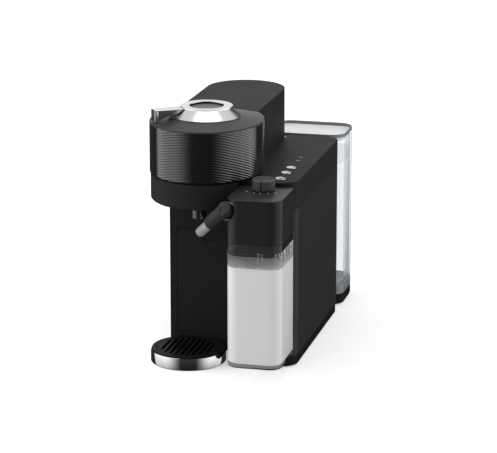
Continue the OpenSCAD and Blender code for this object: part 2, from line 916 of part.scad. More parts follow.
module dial_sleeve() {
    base_z = dial_top - ring_t - 4;
    color("#151617") difference() {
        union() {
            rod([0, axis_y], dial_r - 0.6, base_z, dial_top - ring_t);
            rod([0, axis_y], sleeve_r, rim_z - sleeve_drop + 2, base_z);
        }
        rod([0, axis_y], dial_hole_r, rim_z - sleeve_drop + over, dial_top);
    }
}

// The arm reaches out from the dial over the rim, and its end turns down as a finger tab
module release_lever() {
    tab_t = 4.3;
    arm_top = dial_top - 0.9;
    arm_z = cone_z + 1.2;
    arm_start = dial_hole_r + 4;
    color("#d4d6da") translate([0, axis_y, 0]) rotate([0, 0, -90 - lever_az]) difference() {
        union() {
            translate([arm_start, -lever_w / 2, arm_z])
                cube([lever_reach - arm_start, lever_w, arm_top - arm_z]);
            translate([lever_reach - tab_t, -lever_w / 2, arm_top - tab_h]) cube([tab_t, lever_w, tab_h]);
        }
        rod([0, 0], dial_r, 0, dial_top + over);
    }
}

module brew_button() {
    r = dial_hole_r - gap;
    cap_z = dial_top - 12;
    color("#0e0f10") {
        rod([0, axis_y], r, cap_z, dial_top - ring_t - 0.2);
        rod([0, axis_y], r - 4, rim_z - 15, cap_z);
    }
}

// ---- Water and heat ----

pump_at = [16, arc_y - 52];
pump_z = plate_z + 9;
pump_len = 78;
pump_end = 12;
pump_coil = 38;
pump_r = 17;
pump_foot_r = 11;
pump_head_r = 8;
pump_neck_r = 4;
mount_w = 40;
mount_h = 16;

module water_pump() {
    coil_z = pump_z + pump_end;
    neck_z = pump_z + pump_len - pump_end;
    color("#5b5f66") {
        rod(pump_at, pump_r, coil_z, coil_z + pump_coil);
        rod(pump_at, pump_foot_r, pump_z, coil_z);
        rod(pump_at, pump_head_r, coil_z + pump_coil, neck_z);
        rod(pump_at, pump_neck_r, neck_z, pump_z + pump_len);
    }
}

module pump_mounts() {
    color("#1a1a1a") difference() {
        translate([pump_at.x - mount_w / 2, pump_at.y - mount_w / 2, plate_z])
            cube([mount_w, mount_w, mount_h]);
        rod(pump_at, pump_foot_r + seat, pump_z - seat, plate_z + mount_h + over);
    }
}

heater_at = [-36, frame_y + frame_t];
heater_size = [50, 24, 80];
heater_z = pump_z + pump_len + 12.5;
port_r = 3;
port_in = 8;
port_depth = 14;

module thermoblock() {
    port_y = heater_at.y + heater_size.y / 2;
    heater_end = heater_z + heater_size.z;
    color("#a9adb2") difference() {
        translate([heater_at.x, heater_at.y, heater_z]) cube(heater_size);
        rod([heater_at.x + port_in, port_y], port_r, heater_z - over, heater_z + port_depth);
        rod([heater_at.x + heater_size.x - port_in, port_y], port_r,
            heater_end - port_depth, heater_end + over);
    }
}

pipe_r = 2.2;
pipe_ball = pipe_r + 0.6;
pipe_drop = 60;
pipe_out = 16;
steam_at = [tower_x + 18, 70];
steam_size = [34, 50, 70];
steam_leg = 6;
steam_z = socket_z - pipe_drop - 10.5 - steam_size.z;

module steam_heater() {
    leg_in = 2;
    far = [steam_size.x - steam_leg - leg_in, steam_size.y - steam_leg - leg_in];
    color("#a2a6ab") translate([steam_at.x, steam_at.y, 0]) {
        translate([0, 0, steam_z]) cube(steam_size);
        for (x = [leg_in, far.x], y = [leg_in, far.y])
            translate([x, y, plate_z]) cube([steam_leg, steam_leg, steam_z - plate_z]);
    }
}

// From the milk socket down and back, and into the top of the steam heater
module steam_pipe() {
    x = plug_x();
    y0 = socket_end;
    low = socket_z - pipe_drop;
    drop_y = steam_at.y + 10;
    color("#c98b5a") {
        translate([x, y0, socket_z]) rotate([-90, 0, 0]) cylinder(r = pipe_r, h = pipe_out, $fn = round_fn);
        translate([x, y0 + pipe_out, socket_z]) sphere(r = pipe_ball, $fn = round_fn);
        rod([x, y0 + pipe_out], pipe_r, low, socket_z);
        translate([x, y0 + pipe_out, low]) sphere(r = pipe_ball, $fn = round_fn);
        translate([x, y0 + pipe_out, low]) rotate([-90, 0, 0])
            cylinder(r = pipe_r, h = drop_y - y0 - pipe_out, $fn = round_fn);
        translate([x, drop_y, low]) sphere(r = pipe_ball, $fn = round_fn);
        rod([x, drop_y], pipe_r, steam_z + steam_size.z, low);
    }
}

meter_at = [tower_x + 40, arc_y - 24];
meter_r = 13;
meter_h = 16;
meter_stem = [5, 6];
module flow_meter() {
    color("#e4e4e0") {
        rod(meter_at, meter_r, plate_z, plate_z + meter_h);
        rod(meter_at, meter_stem[0], plate_z + meter_h, plate_z + meter_h + meter_stem[1]);
    }
}

dock_at = [tower_x + 40, tank_y + tank_d / 2];
hose_r = 3;
hose_ball = hose_r + 0.7;
hose_way = 2 * hose_r + 4;
hose_z = plate_z + 5;

// A straight run of hose with round fittings at both ends
module hose_run(a, b) {
    aimed(a, b - a, norm(b - a), hose_r);
    for (p = [a, b]) translate(p) sphere(r = hose_ball, $fn = round_fn);
}

module water_hoses() {
    reach = meter_r + hose_ball + 0.3;
    high = pump_z + pump_len + 4;
    color("#dadfe2") {
        hose_run([dock_at.x, block_d + 3, hose_z], [meter_at.x, meter_at.y + reach, hose_z]);
        hose_run([meter_at.x - reach, meter_at.y, hose_z],
            [pump_at.x + mount_w / 2 + 4.5, pump_at.y + 8, hose_z]);
        hose_run([pump_at.x, pump_at.y, high],
            [heater_at.x + port_in, heater_at.y + heater_size.y / 2, high]);
    }
}

// ---- Power inlet ----

inlet_y = arc_y - 22;
inlet_z = 40;
inlet_size = [16, 30, 24];
inlet_room = [13, 22, 14];
inlet_pin = [8, 2, 4];
pin_y = 5;

module inlet_body(clear = 0) {
    out = over * sign(clear);
    translate([-tower_x - out, inlet_y - inlet_size.y / 2 - clear, inlet_z - inlet_size.z / 2 - clear])
        cube([inlet_size.x + out, inlet_size.y + 2 * clear, inlet_size.z + 2 * clear]);
}

module power_inlet() {
    pin = [inlet_room.x - inlet_pin.x - tower_x, inlet_y - inlet_pin.y / 2, inlet_z - inlet_pin.z / 2];
    color("#111213") difference() {
        inlet_body();
        translate([-tower_x - over, inlet_y - inlet_room.y / 2, inlet_z - inlet_room.z / 2])
            cube([inlet_room.x + over, inlet_room.y, inlet_room.z]);
    }
    color("#c8a24a") for (y = [-pin_y, pin_y]) translate(pin + [0, y, 0]) cube(inlet_pin);
}

// ---- Water tank ----

valve_r = 9;
valve_stem = 4;
tank_floor = 3;
band_skin = 1.2;
foot_inset = band_skin + seat;

module tank_dock() {
    color("#121314") difference() {
        slab(plate_z, dock_h) union() {
            tank_plan();
            bridge_plan(block_d);
        }
        rod(dock_at, valve_r + seat, plate_z - over, dock_h + over);
        slab(plate_z - over, hose_z + valve_stem) translate([dock_at.x - hose_way / 2, block_d - over])
            square([hose_way, tank_gap + tank_d / 2]);
    }
}

module dock_valve() {
    color("#c9c9c4") difference() {
        union() {
            rod(dock_at, valve_r, plate_z + 4, dock_h - 0.5);
            rod(dock_at, valve_stem, plate_z, dock_h - 0.5);
        }
        rod(dock_at, valve_stem / 2, plate_z + 2, dock_h + over);
    }
}

module tank_band() {
    color("#55585c") difference() {
        slab(dock_h, dock_h + band_h) tank_plan();
        slab(dock_h + tank_floor, dock_h + band_h + over) tank_plan(band_skin);
        rod(dock_at, valve_r + 3, dock_h - over, dock_h + band_h);
    }
}

module water_tank() {
    z0 = dock_h + tank_floor;
    color([0.85, 0.9, 0.93, 0.4]) difference() {
        union() {
            slab(z0, dock_h + band_h) tank_plan(foot_inset);
            slab(dock_h + band_h, tank_top - tank_lid_t) tank_plan();
        }
        slab(z0 + tank_floor, tank_top) tank_plan(foot_inset + tank_wall);
        rod(dock_at, valve_stem, z0 - over, z0 + tank_floor + over);
    }
}

module tank_lid() {
    lid_z0 = tank_top - tank_lid_t;
    lip = 4;
    color([0.92, 0.94, 0.95, 0.8]) {
        slab(lid_z0, tank_top) tank_plan();
        difference() {
            slab(lid_z0 - lip, lid_z0) tank_plan(foot_inset + tank_wall + gap);
            slab(lid_z0 - lip - over, lid_z0 + over) tank_plan(tank_wall + lip);
        }
    }
}

// ---- Milk jug and lid ----

module milk_jug() {
    color([0.86, 0.9, 0.92, 0.4]) difference() {
        slab(jug_z, lid_z) jug_plan();
        slab(jug_z + jug_floor, lid_z + over) jug_plan(jug_wall);
    }
}

lid_wall = 2.5;
knob_pin_r = 4;
pocket_depth = 24;
pocket_out = 40;
module milk_lid() {
    color("#232527") difference() {
        slab(lid_z, lid_top) jug_plan();
        slab(lid_z - over, lid_top - lid_wall) jug_plan(lid_wall);
        rod(knob_at(), knob_pin_r + run, lid_top - lid_wall - over, lid_top + over);
        translate([plug_x(), -jug_gap - lid_wall - over, socket_z]) rotate([-90, 0, 0])
            cylinder(r = plug_r + seat, h = lid_wall + 2 * over, $fn = round_fn);
        aimed(swivel + pocket_out * swivel_dir, -swivel_dir, pocket_out + hub_len + gap + pocket_depth,
            collar_r + seat);
    }
}

skirt_t = 2;
module lid_skirt() {
    inset = jug_wall + gap;
    color("#1b1c1e") difference() {
        union() {
            slab(lid_z - skirt_h, lid_z) jug_plan(inset);
            slab(lid_z, lid_z + skirt_t) jug_plan(lid_wall + seat);
        }
        slab(lid_z - skirt_h - over, lid_z - skirt_t) jug_plan(inset + skirt_t);
        rod(tube_at(), tube_r + seat, lid_z - skirt_h, lid_z + skirt_t + over);
    }
}

function tube_at() = [jug_x + jug_w / 2, -jug_gap - 14];
tube_r = 3;
module milk_tube() {
    z0 = jug_z + jug_floor + 3;
    z1 = lid_z + 24;
    color([0.9, 0.92, 0.93, 0.6]) difference() {
        rod(tube_at(), tube_r, z0, z1);
        rod(tube_at(), tube_r - 1, z0 - over, z1 + over);
    }
}

plug_reach = 14;
plug_wall = 2.2;
module milk_plug() {
    total = 2 * plug_reach + lid_wall + jug_gap;
    color("#b8bbc0") translate([plug_x(), -jug_gap - lid_wall - plug_reach, socket_z]) rotate([-90, 0, 0])
        difference() {
            union() {
                cylinder(r = plug_r, h = total, $fn = round_fn);
                cylinder(r = plug_r + 3, h = plug_reach - seat, $fn = round_fn);
            }
            translate([0, 0, -over]) cylinder(r = plug_r - plug_wall, h = total + 2 * over, $fn = round_fn);
        }
}

function knob_at() = [jug_x + jug_w / 2, -jug_gap - 17];
module froth_knob() {
    chamfer = 1.6;
    groove = [1.6, 6, 6];
    z0 = lid_top + gap;
    color("#7d8084") translate([knob_at().x, knob_at().y, 0]) difference() {
        union() {
            rod([0, 0], knob_r, z0, lid_top + knob_h - chamfer);
            translate([0, 0, lid_top + knob_h - chamfer])
                cylinder(r1 = knob_r, r2 = knob_r - chamfer, h = chamfer, $fn = round_fn);
            rod([0, 0], knob_pin_r, lid_top - lid_wall - 3, z0);
        }
        // pointer groove at the front
        translate([-groove.x / 2, -knob_r - over, lid_top + knob_h - groove.z + over]) cube(groove);
    }
}

collar_len = 12;
module spout_collar() {
    start = swivel - (hub_len + gap) * swivel_dir;
    color("#1c1d1f") difference() {
        aimed(start, -swivel_dir, collar_len, collar_r);
        aimed(start + swivel_dir, -swivel_dir, collar_len + 2, hub_pin_r + run);
    }
}

nozzle_seat = 10;
module spout_tube() {
    color("#1f2123") difference() {
        union() {
            aimed(swivel, -swivel_dir, hub_len, spout_r);
            difference() {
                aimed(tube_start, spout_dir, tube_len, spout_r - 0.4);
                aimed(swivel - (hub_len - gap) * swivel_dir, -swivel_dir, 2 * collar_r, collar_r + gap);
            }
            aimed(swivel - (hub_len - over) * swivel_dir, -swivel_dir, collar_len - over, hub_pin_r);
        }
        aimed(tube_start + spout_dir * (tube_len - nozzle_seat), spout_dir, nozzle_seat + 2, nozzle_r + seat);
    }
}

module spout_nozzle() {
    back = tube_len - nozzle_seat + 0.5;
    nozzle_wall = 1.2;
    color("#d9dbde") difference() {
        aimed(tube_start + spout_dir * back, spout_dir, spout_len - back, nozzle_r);
        aimed(tube_start + spout_dir * (back - 1.5), spout_dir, spout_len, nozzle_r - nozzle_wall);
    }
}

// ---- Which node is drawn ----
place() base_plate();
place() rubber_feet();
place() plinth();
place() tower_shell();
place() column_front();
place() tower_front();
place() tower_top();
place() block_shell();
place() deck_cap();
place() brew_housing();
place() brew_deck();
place() coffee_outlet();
place() inner_frame();
place() spin_motor();
place() drive_belt();
place() water_pump();
place() pump_mounts();
place() thermoblock();
place() steam_heater();
place() flow_meter();
place() control_board();
place() water_hoses();
place() steam_pipe();
place() tank_dock();
place() dock_valve();
place() power_inlet();
place() milk_socket();
place() hinge_pin();
place() base_screws();
place() head_frame();
place() ribbed_panel();
place() head_rim();
place() injection_head();
place() dial_ring();
place() dial_cone();
place() dial_sleeve();
place() release_lever();
place() brew_button();
place() button_front();
place() button_middle();
place() button_rear();
place() capsule_holder();
place() holder_pulley();
place() motor_pulley();
place() drip_tray();
place() tray_band();
place() drip_grid();
place() capsule_bin();
place() milk_lid();
place() lid_skirt();
place() milk_tube();
place() milk_plug();
place() spout_collar();
place() froth_knob();
place() spout_tube();
place() spout_nozzle();
place() milk_jug();
place() water_tank();
place() tank_band();
place() tank_lid();
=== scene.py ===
"""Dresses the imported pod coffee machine: materials, detailed pieces, stage, lights and camera."""

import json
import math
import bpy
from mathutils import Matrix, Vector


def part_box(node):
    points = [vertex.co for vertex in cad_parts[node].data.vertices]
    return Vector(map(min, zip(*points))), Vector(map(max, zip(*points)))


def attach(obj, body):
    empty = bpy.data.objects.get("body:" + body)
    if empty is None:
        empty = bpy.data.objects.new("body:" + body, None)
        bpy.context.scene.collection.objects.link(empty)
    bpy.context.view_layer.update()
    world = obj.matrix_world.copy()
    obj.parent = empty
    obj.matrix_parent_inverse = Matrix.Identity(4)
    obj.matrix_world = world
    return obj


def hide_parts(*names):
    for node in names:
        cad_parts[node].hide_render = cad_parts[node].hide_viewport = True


bl_info = {
    "name": "Pod Coffee Machine", "version": (1, 0, 0), "blender": (4, 5, 0),
    "location": "View3D > Sidebar > Coffee",
    "description": "Builds the visible pieces and finishes of a pod coffee machine", "category": "Object",
}

import bmesh
import bpy
from bpy.props import FloatProperty, FloatVectorProperty, IntProperty, PointerProperty
from mathutils import Matrix, Vector

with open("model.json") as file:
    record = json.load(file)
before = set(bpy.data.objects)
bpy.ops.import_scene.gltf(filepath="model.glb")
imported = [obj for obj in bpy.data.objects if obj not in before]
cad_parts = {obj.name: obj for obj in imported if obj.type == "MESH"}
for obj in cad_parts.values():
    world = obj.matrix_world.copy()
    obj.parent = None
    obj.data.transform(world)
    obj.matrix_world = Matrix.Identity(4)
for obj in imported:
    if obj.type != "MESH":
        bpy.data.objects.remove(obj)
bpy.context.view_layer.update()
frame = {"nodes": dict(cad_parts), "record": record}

# ---- Places ------------------------------------------------------------------------------
# Pieces are drawn in millimetres, with x = 0 in the middle of the tower, y = 0 at the side
# block's front face and z = 0 on the table. PLACE takes that drawing into the frame.

MM = 0.001
TOWER_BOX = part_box("tower_shell")
BLOCK_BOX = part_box("block_shell")
DATUM = Vector(((TOWER_BOX[0][0] + TOWER_BOX[1][0]) / 2, BLOCK_BOX[0][1], 0.0))
PLACE = Matrix.Translation(DATUM) @ Matrix.Scale(MM, 4)


def drawn(node):
    """Lowest and highest corner of a CAD node, in the drawing's millimetres."""
    lo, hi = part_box(node)
    return (Vector(lo) - DATUM) / MM, (Vector(hi) - DATUM) / MM


# Sizes that follow the model's construction, in millimetres and degrees
PANEL = 2.5
SLEEVE = 23.0
CONE = 42.5
AXIS_Y = 35.5
RIB_FALL = 0.42
RIB_WAVE = ((0.0, 1.0), (0.12, 0.6), (0.28, 0.15), (0.5, 0.0), (0.72, 0.15), (0.88, 0.6))
PANEL_GAP = 1.3
HINGE_ROOM = 3.3
HINGE_CUT = 2.85
RIM_EDGE = 286.0
DIAL_HOLE = 20.0
CONE_LEFT = 38.5
CONE_RIGHT = 85.0
LEVER_TURN = 55.5
LEVER_W = 15.0
KEY_RISE = 1.2
BUTTON_R = 6.4
BUTTON_X = 91.3
DECK_MARKS = (114.0, 131.0)
JUG_CORNERS = (15.0, 15.0, 4.0, 4.0)
JUG_WALL = 2.0
JUG_FLOOR = 5.0
MILK_TOP = 138.6
MAX_MARK = 141.0
SLIT = (-58.0, -44.0, 207.5, 210.5)
SWIVEL = (47.5, -71.0, 208.5)
SWIVEL_DIR = (-0.2962, -0.8138, 0.5)
SPOUT_DIR = (-0.560, 0.620, -0.550)
SPOUT_LEN = 76.0
SPOUT_TUBE = 44.08
TANK_CORNERS = (24.0, 19.0, 19.0, 19.0)
TANK_WALL = 2.2
WATER_TOP = 197.0

# ---- Sizes and colours that a user would change -------------------------------------------


def millimetres(name, description, default):
    return FloatProperty(name=name, description=description, default=default, min=0.0, precision=2)


def colour(name, description, default):
    return FloatVectorProperty(
        name=name, description=description, default=default, size=3, min=0.0, max=1.0, subtype="COLOR"
    )


class CoffeeFinishes(bpy.types.PropertyGroup):
    casing: colour("Casing", "Matte charcoal of the tower and the side block", (0.017, 0.0175, 0.0183))
    gloss: colour("Gloss black", "Ribbed panel and spout", (0.006, 0.006, 0.0065))
    soft: colour("Soft black", "Plinth, dock and tray", (0.008, 0.008, 0.0085))
    knob: colour("Knob grey", "Froth knob", (0.055, 0.056, 0.058))
    chrome: colour("Chrome", "Dial, lever and tray band", (0.80, 0.805, 0.81))
    milk: colour("Milk", "Milk in the jug", (0.68, 0.677, 0.667))


class CoffeeHead(bpy.types.PropertyGroup):
    rib_pitch: millimetres("Rib pitch", "Height from one rib of the panel to the next, mm", 3.08)
    rib_depth: millimetres("Rib depth", "Depth of the groove between two ribs, mm", 0.36)
    depth: millimetres("Head depth", "Depth of the head's full oval, mm", 151.2)
    lever_reach: millimetres("Lever reach", "Reach of the lever from the dial's axis, mm", 65.7)


# ---- Meshes -------------------------------------------------------------------------------


def edges_among(verts):
    """The edges whose two ends are both among verts."""
    chosen = set(verts)
    return [e for e in {e for v in chosen for e in v.link_edges} if set(e.verts) <= chosen]


def level_edges(bm, z):
    """The edges that lie flat at one height."""
    return [e for e in bm.edges if all(abs(v.co.z - z) < 1e-3 for v in e.verts)]


def soften(bm, edges, width, steps=3):
    bmesh.ops.bevel(
        bm, geom=edges, offset=width, offset_type="OFFSET", affect="EDGES", segments=steps, profile=0.5,
        material=-1, clamp_overlap=False,
    )


# Above 32 mm single precision can be off by more than this, and corner_face then finds nothing
FLAT = 1e-6


def corner_face(bm, lo, hi, radii, z, steps=10):
    """A flat rectangle with rounded corners: front left, front right, rear right, rear left."""
    corners = ((lo[0], lo[1]), (hi[0], lo[1]), (hi[0], hi[1]), (lo[0], hi[1]))
    verts = [bm.verts.new((x, y, z)) for x, y in corners]
    bm.faces.new(verts)
    for vert, radius in zip(verts, radii):
        if radius > 0:
            bmesh.ops.bevel(
                bm, geom=[vert], offset=radius, offset_type="OFFSET", affect="VERTICES", segments=steps,
                profile=0.5, material=-1, clamp_overlap=False,
            )
    return [f for f in bm.faces if all(abs(v.co.z - z) < FLAT for v in f.verts)][-1:]


def raised(bm, faces, by):
    """Extrudes faces by a vector and returns the moved faces. The faces it starts from stay."""
    made = bmesh.ops.extrude_face_region(bm, geom=faces)["geom"]
    tops = [g for g in made if isinstance(g, bmesh.types.BMFace)]
    bmesh.ops.translate(bm, vec=by, verts=list({v for f in tops for v in f.verts}))
    return tops


def spun(bm, profile, steps=96, sweep=360.0, start=0.0, closed=True):
    """Spins a profile of (radius, height) round the upright axis. A part turn has capped ends."""
    turn = Matrix.Rotation(math.radians(start), 4, "Z")
    verts = [bm.verts.new(turn @ Vector((r, 0.0, z))) for r, z in profile]
    pairs = list(zip(verts, verts[1:])) + ([(verts[-1], verts[0])] if closed else [])
    edges = [bm.edges.new(pair) for pair in pairs]
    full = sweep >= 360.0
    bmesh.ops.spin(
        bm, geom=verts + edges, cent=(0, 0, 0), axis=(0, 0, 1), dvec=(0, 0, 0), angle=math.radians(sweep),
        steps=steps, use_merge=full, use_normal_flip=False, use_duplicate=False,
    )
    bmesh.ops.remove_doubles(bm, verts=bm.verts, dist=1e-4)
    if not full:
        bmesh.ops.holes_fill(bm, edges=[e for e in bm.edges if e.is_boundary], sides=0)


def cut_off(bm, point, normal):
    """Cuts away what lies beyond a plane and closes the cut."""
    geom = bm.verts[:] + bm.edges[:] + bm.faces[:]
    made = bmesh.ops.bisect_plane(
        bm, geom=geom, dist=1e-4, plane_co=point, plane_no=normal, clear_outer=True, clear_inner=False
    )["geom_cut"]
    edges = [g for g in made if isinstance(g, bmesh.types.BMEdge)]
    bmesh.ops.holes_fill(bm, edges=edges, sides=0)


def trimmed(bm, point, normal):
    """Cuts away what lies beyond a plane and leaves the cut open."""
    geom = bm.verts[:] + bm.edges[:] + bm.faces[:]
    bmesh.ops.bisect_plane(
        bm, geom=geom, dist=1e-4, plane_co=point, plane_no=normal, clear_outer=True, clear_inner=False
    )


def facing_out(bm, centre):
    """Turns the faces of an open skin away from an upright axis."""
    bmesh.ops.recalc_face_normals(bm, faces=bm.faces)
    bm.faces.ensure_lookup_table()
    away = bm.faces[0].calc_center_median() - centre
    away.z = 0.0
    if bm.faces[0].normal.dot(away) < 0:
        bmesh.ops.reverse_faces(bm, faces=bm.faces)


def bar(bm, start, direction, length, radius, steps=48, soft=0.0):
    """A round bar from a point along a direction, with softened ends."""
    part = bmesh.new()
    bmesh.ops.create_circle(part, cap_ends=True, segments=steps, radius=radius)
    raised(part, part.faces[:], (0, 0, length))
    if soft > 0:
        soften(part, level_edges(part, 0.0) + level_edges(part, length), soft)
    aim = Vector(direction).to_track_quat("Z", "Y").to_matrix().to_4x4()
    bmesh.ops.transform(part, matrix=Matrix.Translation(start) @ aim, verts=part.verts)
    merge_in(bm, part)


def merge_in(bm, part):
    """Adds one drawing to another."""
    mesh = bpy.data.meshes.new("part")
    part.normal_update()
    bmesh.ops.recalc_face_normals(part, faces=part.faces)
    part.to_mesh(mesh)
    part.free()
    bm.from_mesh(mesh)
    bpy.data.meshes.remove(mesh)


def block(bm, lo, hi, soft=0.0, steps=2):
    """A box between two corners with softened edges."""
    part = bmesh.new()
    bmesh.ops.create_cube(part, size=1.0)
    size = [b - a for a, b in zip(lo, hi)]
    middle = [(a + b) / 2 for a, b in zip(lo, hi)]
    bmesh.ops.scale(part, vec=size, verts=part.verts)
    bmesh.ops.translate(part, vec=middle, verts=part.verts)
    if soft > 0:
        soften(part, part.edges[:], soft, steps)
    merge_in(bm, part)


def moved(bm, matrix):
    bmesh.ops.transform(bm, matrix=matrix, verts=bm.verts)


def ring(bm, rx, ry, cx, cy, z, steps):
    """An oval loop of vertices at one height."""
    verts = bmesh.ops.create_circle(bm, cap_ends=False, segments=steps, radius=1.0)["verts"]
    bmesh.ops.scale(bm, vec=(rx, ry, 1.0), verts=verts)
    bmesh.ops.translate(bm, vec=(cx, cy, z), verts=verts)
    return verts


def finish(bm, name, body, material, nodes=(), angle=35.0, outward=True):
    """Turns a drawing into a piece of the frame that rides on a body."""
    bmesh.ops.remove_doubles(bm, verts=bm.verts, dist=1e-4)
    if outward:
        bmesh.ops.recalc_face_normals(bm, faces=bm.faces)
    bmesh.ops.transform(bm, matrix=PLACE, verts=bm.verts)
    mesh = bpy.data.meshes.new(name)
    bm.to_mesh(mesh)
    bm.free()
    mesh.shade_smooth()
    mesh.set_sharp_from_angle(angle=math.radians(angle))
    piece = bpy.data.objects.new(name, mesh)
    bpy.context.scene.collection.objects.link(piece)
    mesh.materials.append(material)
    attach(piece, body)
    if nodes:
        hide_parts(*nodes)
    return piece


# ---- Shader node groups -------------------------------------------------------------------


def new_group(name, inputs, outputs):
    group = bpy.data.node_groups.new(name, "ShaderNodeTree")
    for label, kind, value in inputs:
        socket = group.interface.new_socket(name=label, in_out="INPUT", socket_type=kind)
        socket.default_value = value
    for label, kind in outputs:
        group.interface.new_socket(name=label, in_out="OUTPUT", socket_type=kind)
    return group, group.nodes.new("NodeGroupInput"), group.nodes.new("NodeGroupOutput")


def node(tree, kind, **values):
    made = tree.nodes.new(kind)
    for key, value in values.items():
        if hasattr(made, key):
            setattr(made, key, value)
        else:
            made.inputs[key.replace("_", " ")].default_value = value
    return made


def moulded_grain_group():
    """Fine spark-eroded grain, cloudy colour change and patchy gloss of a moulded casing."""
    group, given, out = new_group(
        "Moulded Grain",
        [
            ("Colour", "NodeSocketColor", (0.05, 0.05, 0.05, 1.0)),
            ("Grain Scale", "NodeSocketFloat", 2200.0),
            ("Rough Low", "NodeSocketFloat", 0.4),
            ("Rough High", "NodeSocketFloat", 0.5),
            ("Colour Change", "NodeSocketFloat", 0.12),
        ],
        [("Colour", "NodeSocketColor"), ("Roughness", "NodeSocketFloat"), ("Height", "NodeSocketFloat")],
    )
    link = group.links.new
    place = node(group, "ShaderNodeTexCoord").outputs["Object"]
    grain = node(group, "ShaderNodeTexNoise", Detail=3.0, Roughness=0.65)
    link(place, grain.inputs["Vector"])
    link(given.outputs["Grain Scale"], grain.inputs["Scale"])
    link(grain.outputs["Fac"], out.inputs["Height"])
    cloud = node(group, "ShaderNodeTexNoise", Scale=22.0, Detail=4.0)
    link(place, cloud.inputs["Vector"])
    mixed = node(group, "ShaderNodeMath", operation="ADD", use_clamp=True)
    speckle = node(group, "ShaderNodeMath", operation="MULTIPLY_ADD")
    speckle.inputs[1].default_value = 0.5
    speckle.inputs[2].default_value = -0.25
    link(grain.outputs["Fac"], speckle.inputs[0])
    link(cloud.outputs["Fac"], mixed.inputs[0])
    link(speckle.outputs[0], mixed.inputs[1])
    rough = node(group, "ShaderNodeMapRange")
    link(mixed.outputs[0], rough.inputs["Value"])
    link(given.outputs["Rough Low"], rough.inputs["To Min"])
    link(given.outputs["Rough High"], rough.inputs["To Max"])
    link(rough.outputs["Result"], out.inputs["Roughness"])
    darker = node(group, "ShaderNodeMath", operation="MULTIPLY")
    link(mixed.outputs[0], darker.inputs[0])
    link(given.outputs["Colour Change"], darker.inputs[1])
    shade = node(group, "ShaderNodeMix", data_type="RGBA", blend_type="MULTIPLY")
    link(darker.outputs[0], shade.inputs["Factor"])
    link(given.outputs["Colour"], shade.inputs[6])
    shade.inputs[7].default_value = (0.45, 0.45, 0.46, 1.0)
    link(shade.outputs[2], out.inputs["Colour"])
    return group


def brushed_group():
    """Fine lines of a brushed or drawn metal, with patchy gloss."""
    group, given, out = new_group(
        "Brushed Lines",
        [
            ("Colour", "NodeSocketColor", (0.8, 0.8, 0.8, 1.0)),
            ("Stretch", "NodeSocketVector", (300.0, 300.0, 9000.0)),
            ("Rough Low", "NodeSocketFloat", 0.1),
            ("Rough High", "NodeSocketFloat", 0.2),
        ],
        [("Colour", "NodeSocketColor"), ("Roughness", "NodeSocketFloat"), ("Height", "NodeSocketFloat")],
    )
    link = group.links.new
    place = node(group, "ShaderNodeTexCoord").outputs["Object"]
    scaled = node(group, "ShaderNodeVectorMath", operation="MULTIPLY")
    link(place, scaled.inputs[0])
    link(given.outputs["Stretch"], scaled.inputs[1])
    lines = node(group, "ShaderNodeTexNoise", Scale=1.0, Detail=3.0)
    link(scaled.outputs[0], lines.inputs["Vector"])
    cloud = node(group, "ShaderNodeTexNoise", Scale=35.0, Detail=3.0)
    link(place, cloud.inputs["Vector"])
    both = node(group, "ShaderNodeMath", operation="MULTIPLY")
    link(lines.outputs["Fac"], both.inputs[0])
    link(cloud.outputs["Fac"], both.inputs[1])
    rough = node(group, "ShaderNodeMapRange")
    rough.inputs["From Max"].default_value = 0.5
    link(both.outputs[0], rough.inputs["Value"])
    link(given.outputs["Rough Low"], rough.inputs["To Min"])
    link(given.outputs["Rough High"], rough.inputs["To Max"])
    link(rough.outputs["Result"], out.inputs["Roughness"])
    link(lines.outputs["Fac"], out.inputs["Height"])
    shade = node(group, "ShaderNodeMix", data_type="RGBA", blend_type="MULTIPLY")
    dim = node(group, "ShaderNodeMath", operation="MULTIPLY")
    dim.inputs[1].default_value = 0.25
    link(both.outputs[0], dim.inputs[0])
    link(dim.outputs[0], shade.inputs["Factor"])
    link(given.outputs["Colour"], shade.inputs[6])
    shade.inputs[7].default_value = (0.5, 0.5, 0.52, 1.0)
    link(shade.outputs[2], out.inputs["Colour"])
    return group


GROUPS = {}
FINISH = {}


def effect(tree, name, **values):
    """Places a shader node group in a material and sets its inputs."""
    used = tree.nodes.new("ShaderNodeGroup")
    used.node_tree = GROUPS[name]
    for key, value in values.items():
        used.inputs[key.replace("_", " ")].default_value = value
    return used


def blank_material(name):
    material = bpy.data.materials.new(name)
    material.use_nodes = True
    tree = material.node_tree
    return material, tree, tree.nodes["Principled BSDF"]


def connect(tree, source, shader, strength, distance):
    """Joins an effect's colour, roughness and height to a shader."""
    tree.links.new(source.outputs["Colour"], shader.inputs["Base Color"])
    tree.links.new(source.outputs["Roughness"], shader.inputs["Roughness"])
    bump = node(tree, "ShaderNodeBump", Strength=strength, Distance=distance)
    tree.links.new(source.outputs["Height"], bump.inputs["Height"])
    tree.links.new(bump.outputs["Normal"], shader.inputs["Normal"])


def moulded(name, rgb, rough, grain=2200.0, strength=0.25, change=0.12, coat=0.0, shine=0.5, distance=0.0001):
    material, tree, shader = blank_material(name)
    source = effect(
        tree, "Moulded Grain", Colour=(*rgb, 1.0), Grain_Scale=grain, Rough_Low=rough[0],
        Rough_High=rough[1], Colour_Change=change,
    )
    connect(tree, source, shader, strength, distance)
    shader.inputs["Specular IOR Level"].default_value = shine
    shader.inputs["Coat Weight"].default_value = coat
    shader.inputs["Coat Roughness"].default_value = 0.08
    material.diffuse_color = (*rgb, 1.0)
    return material


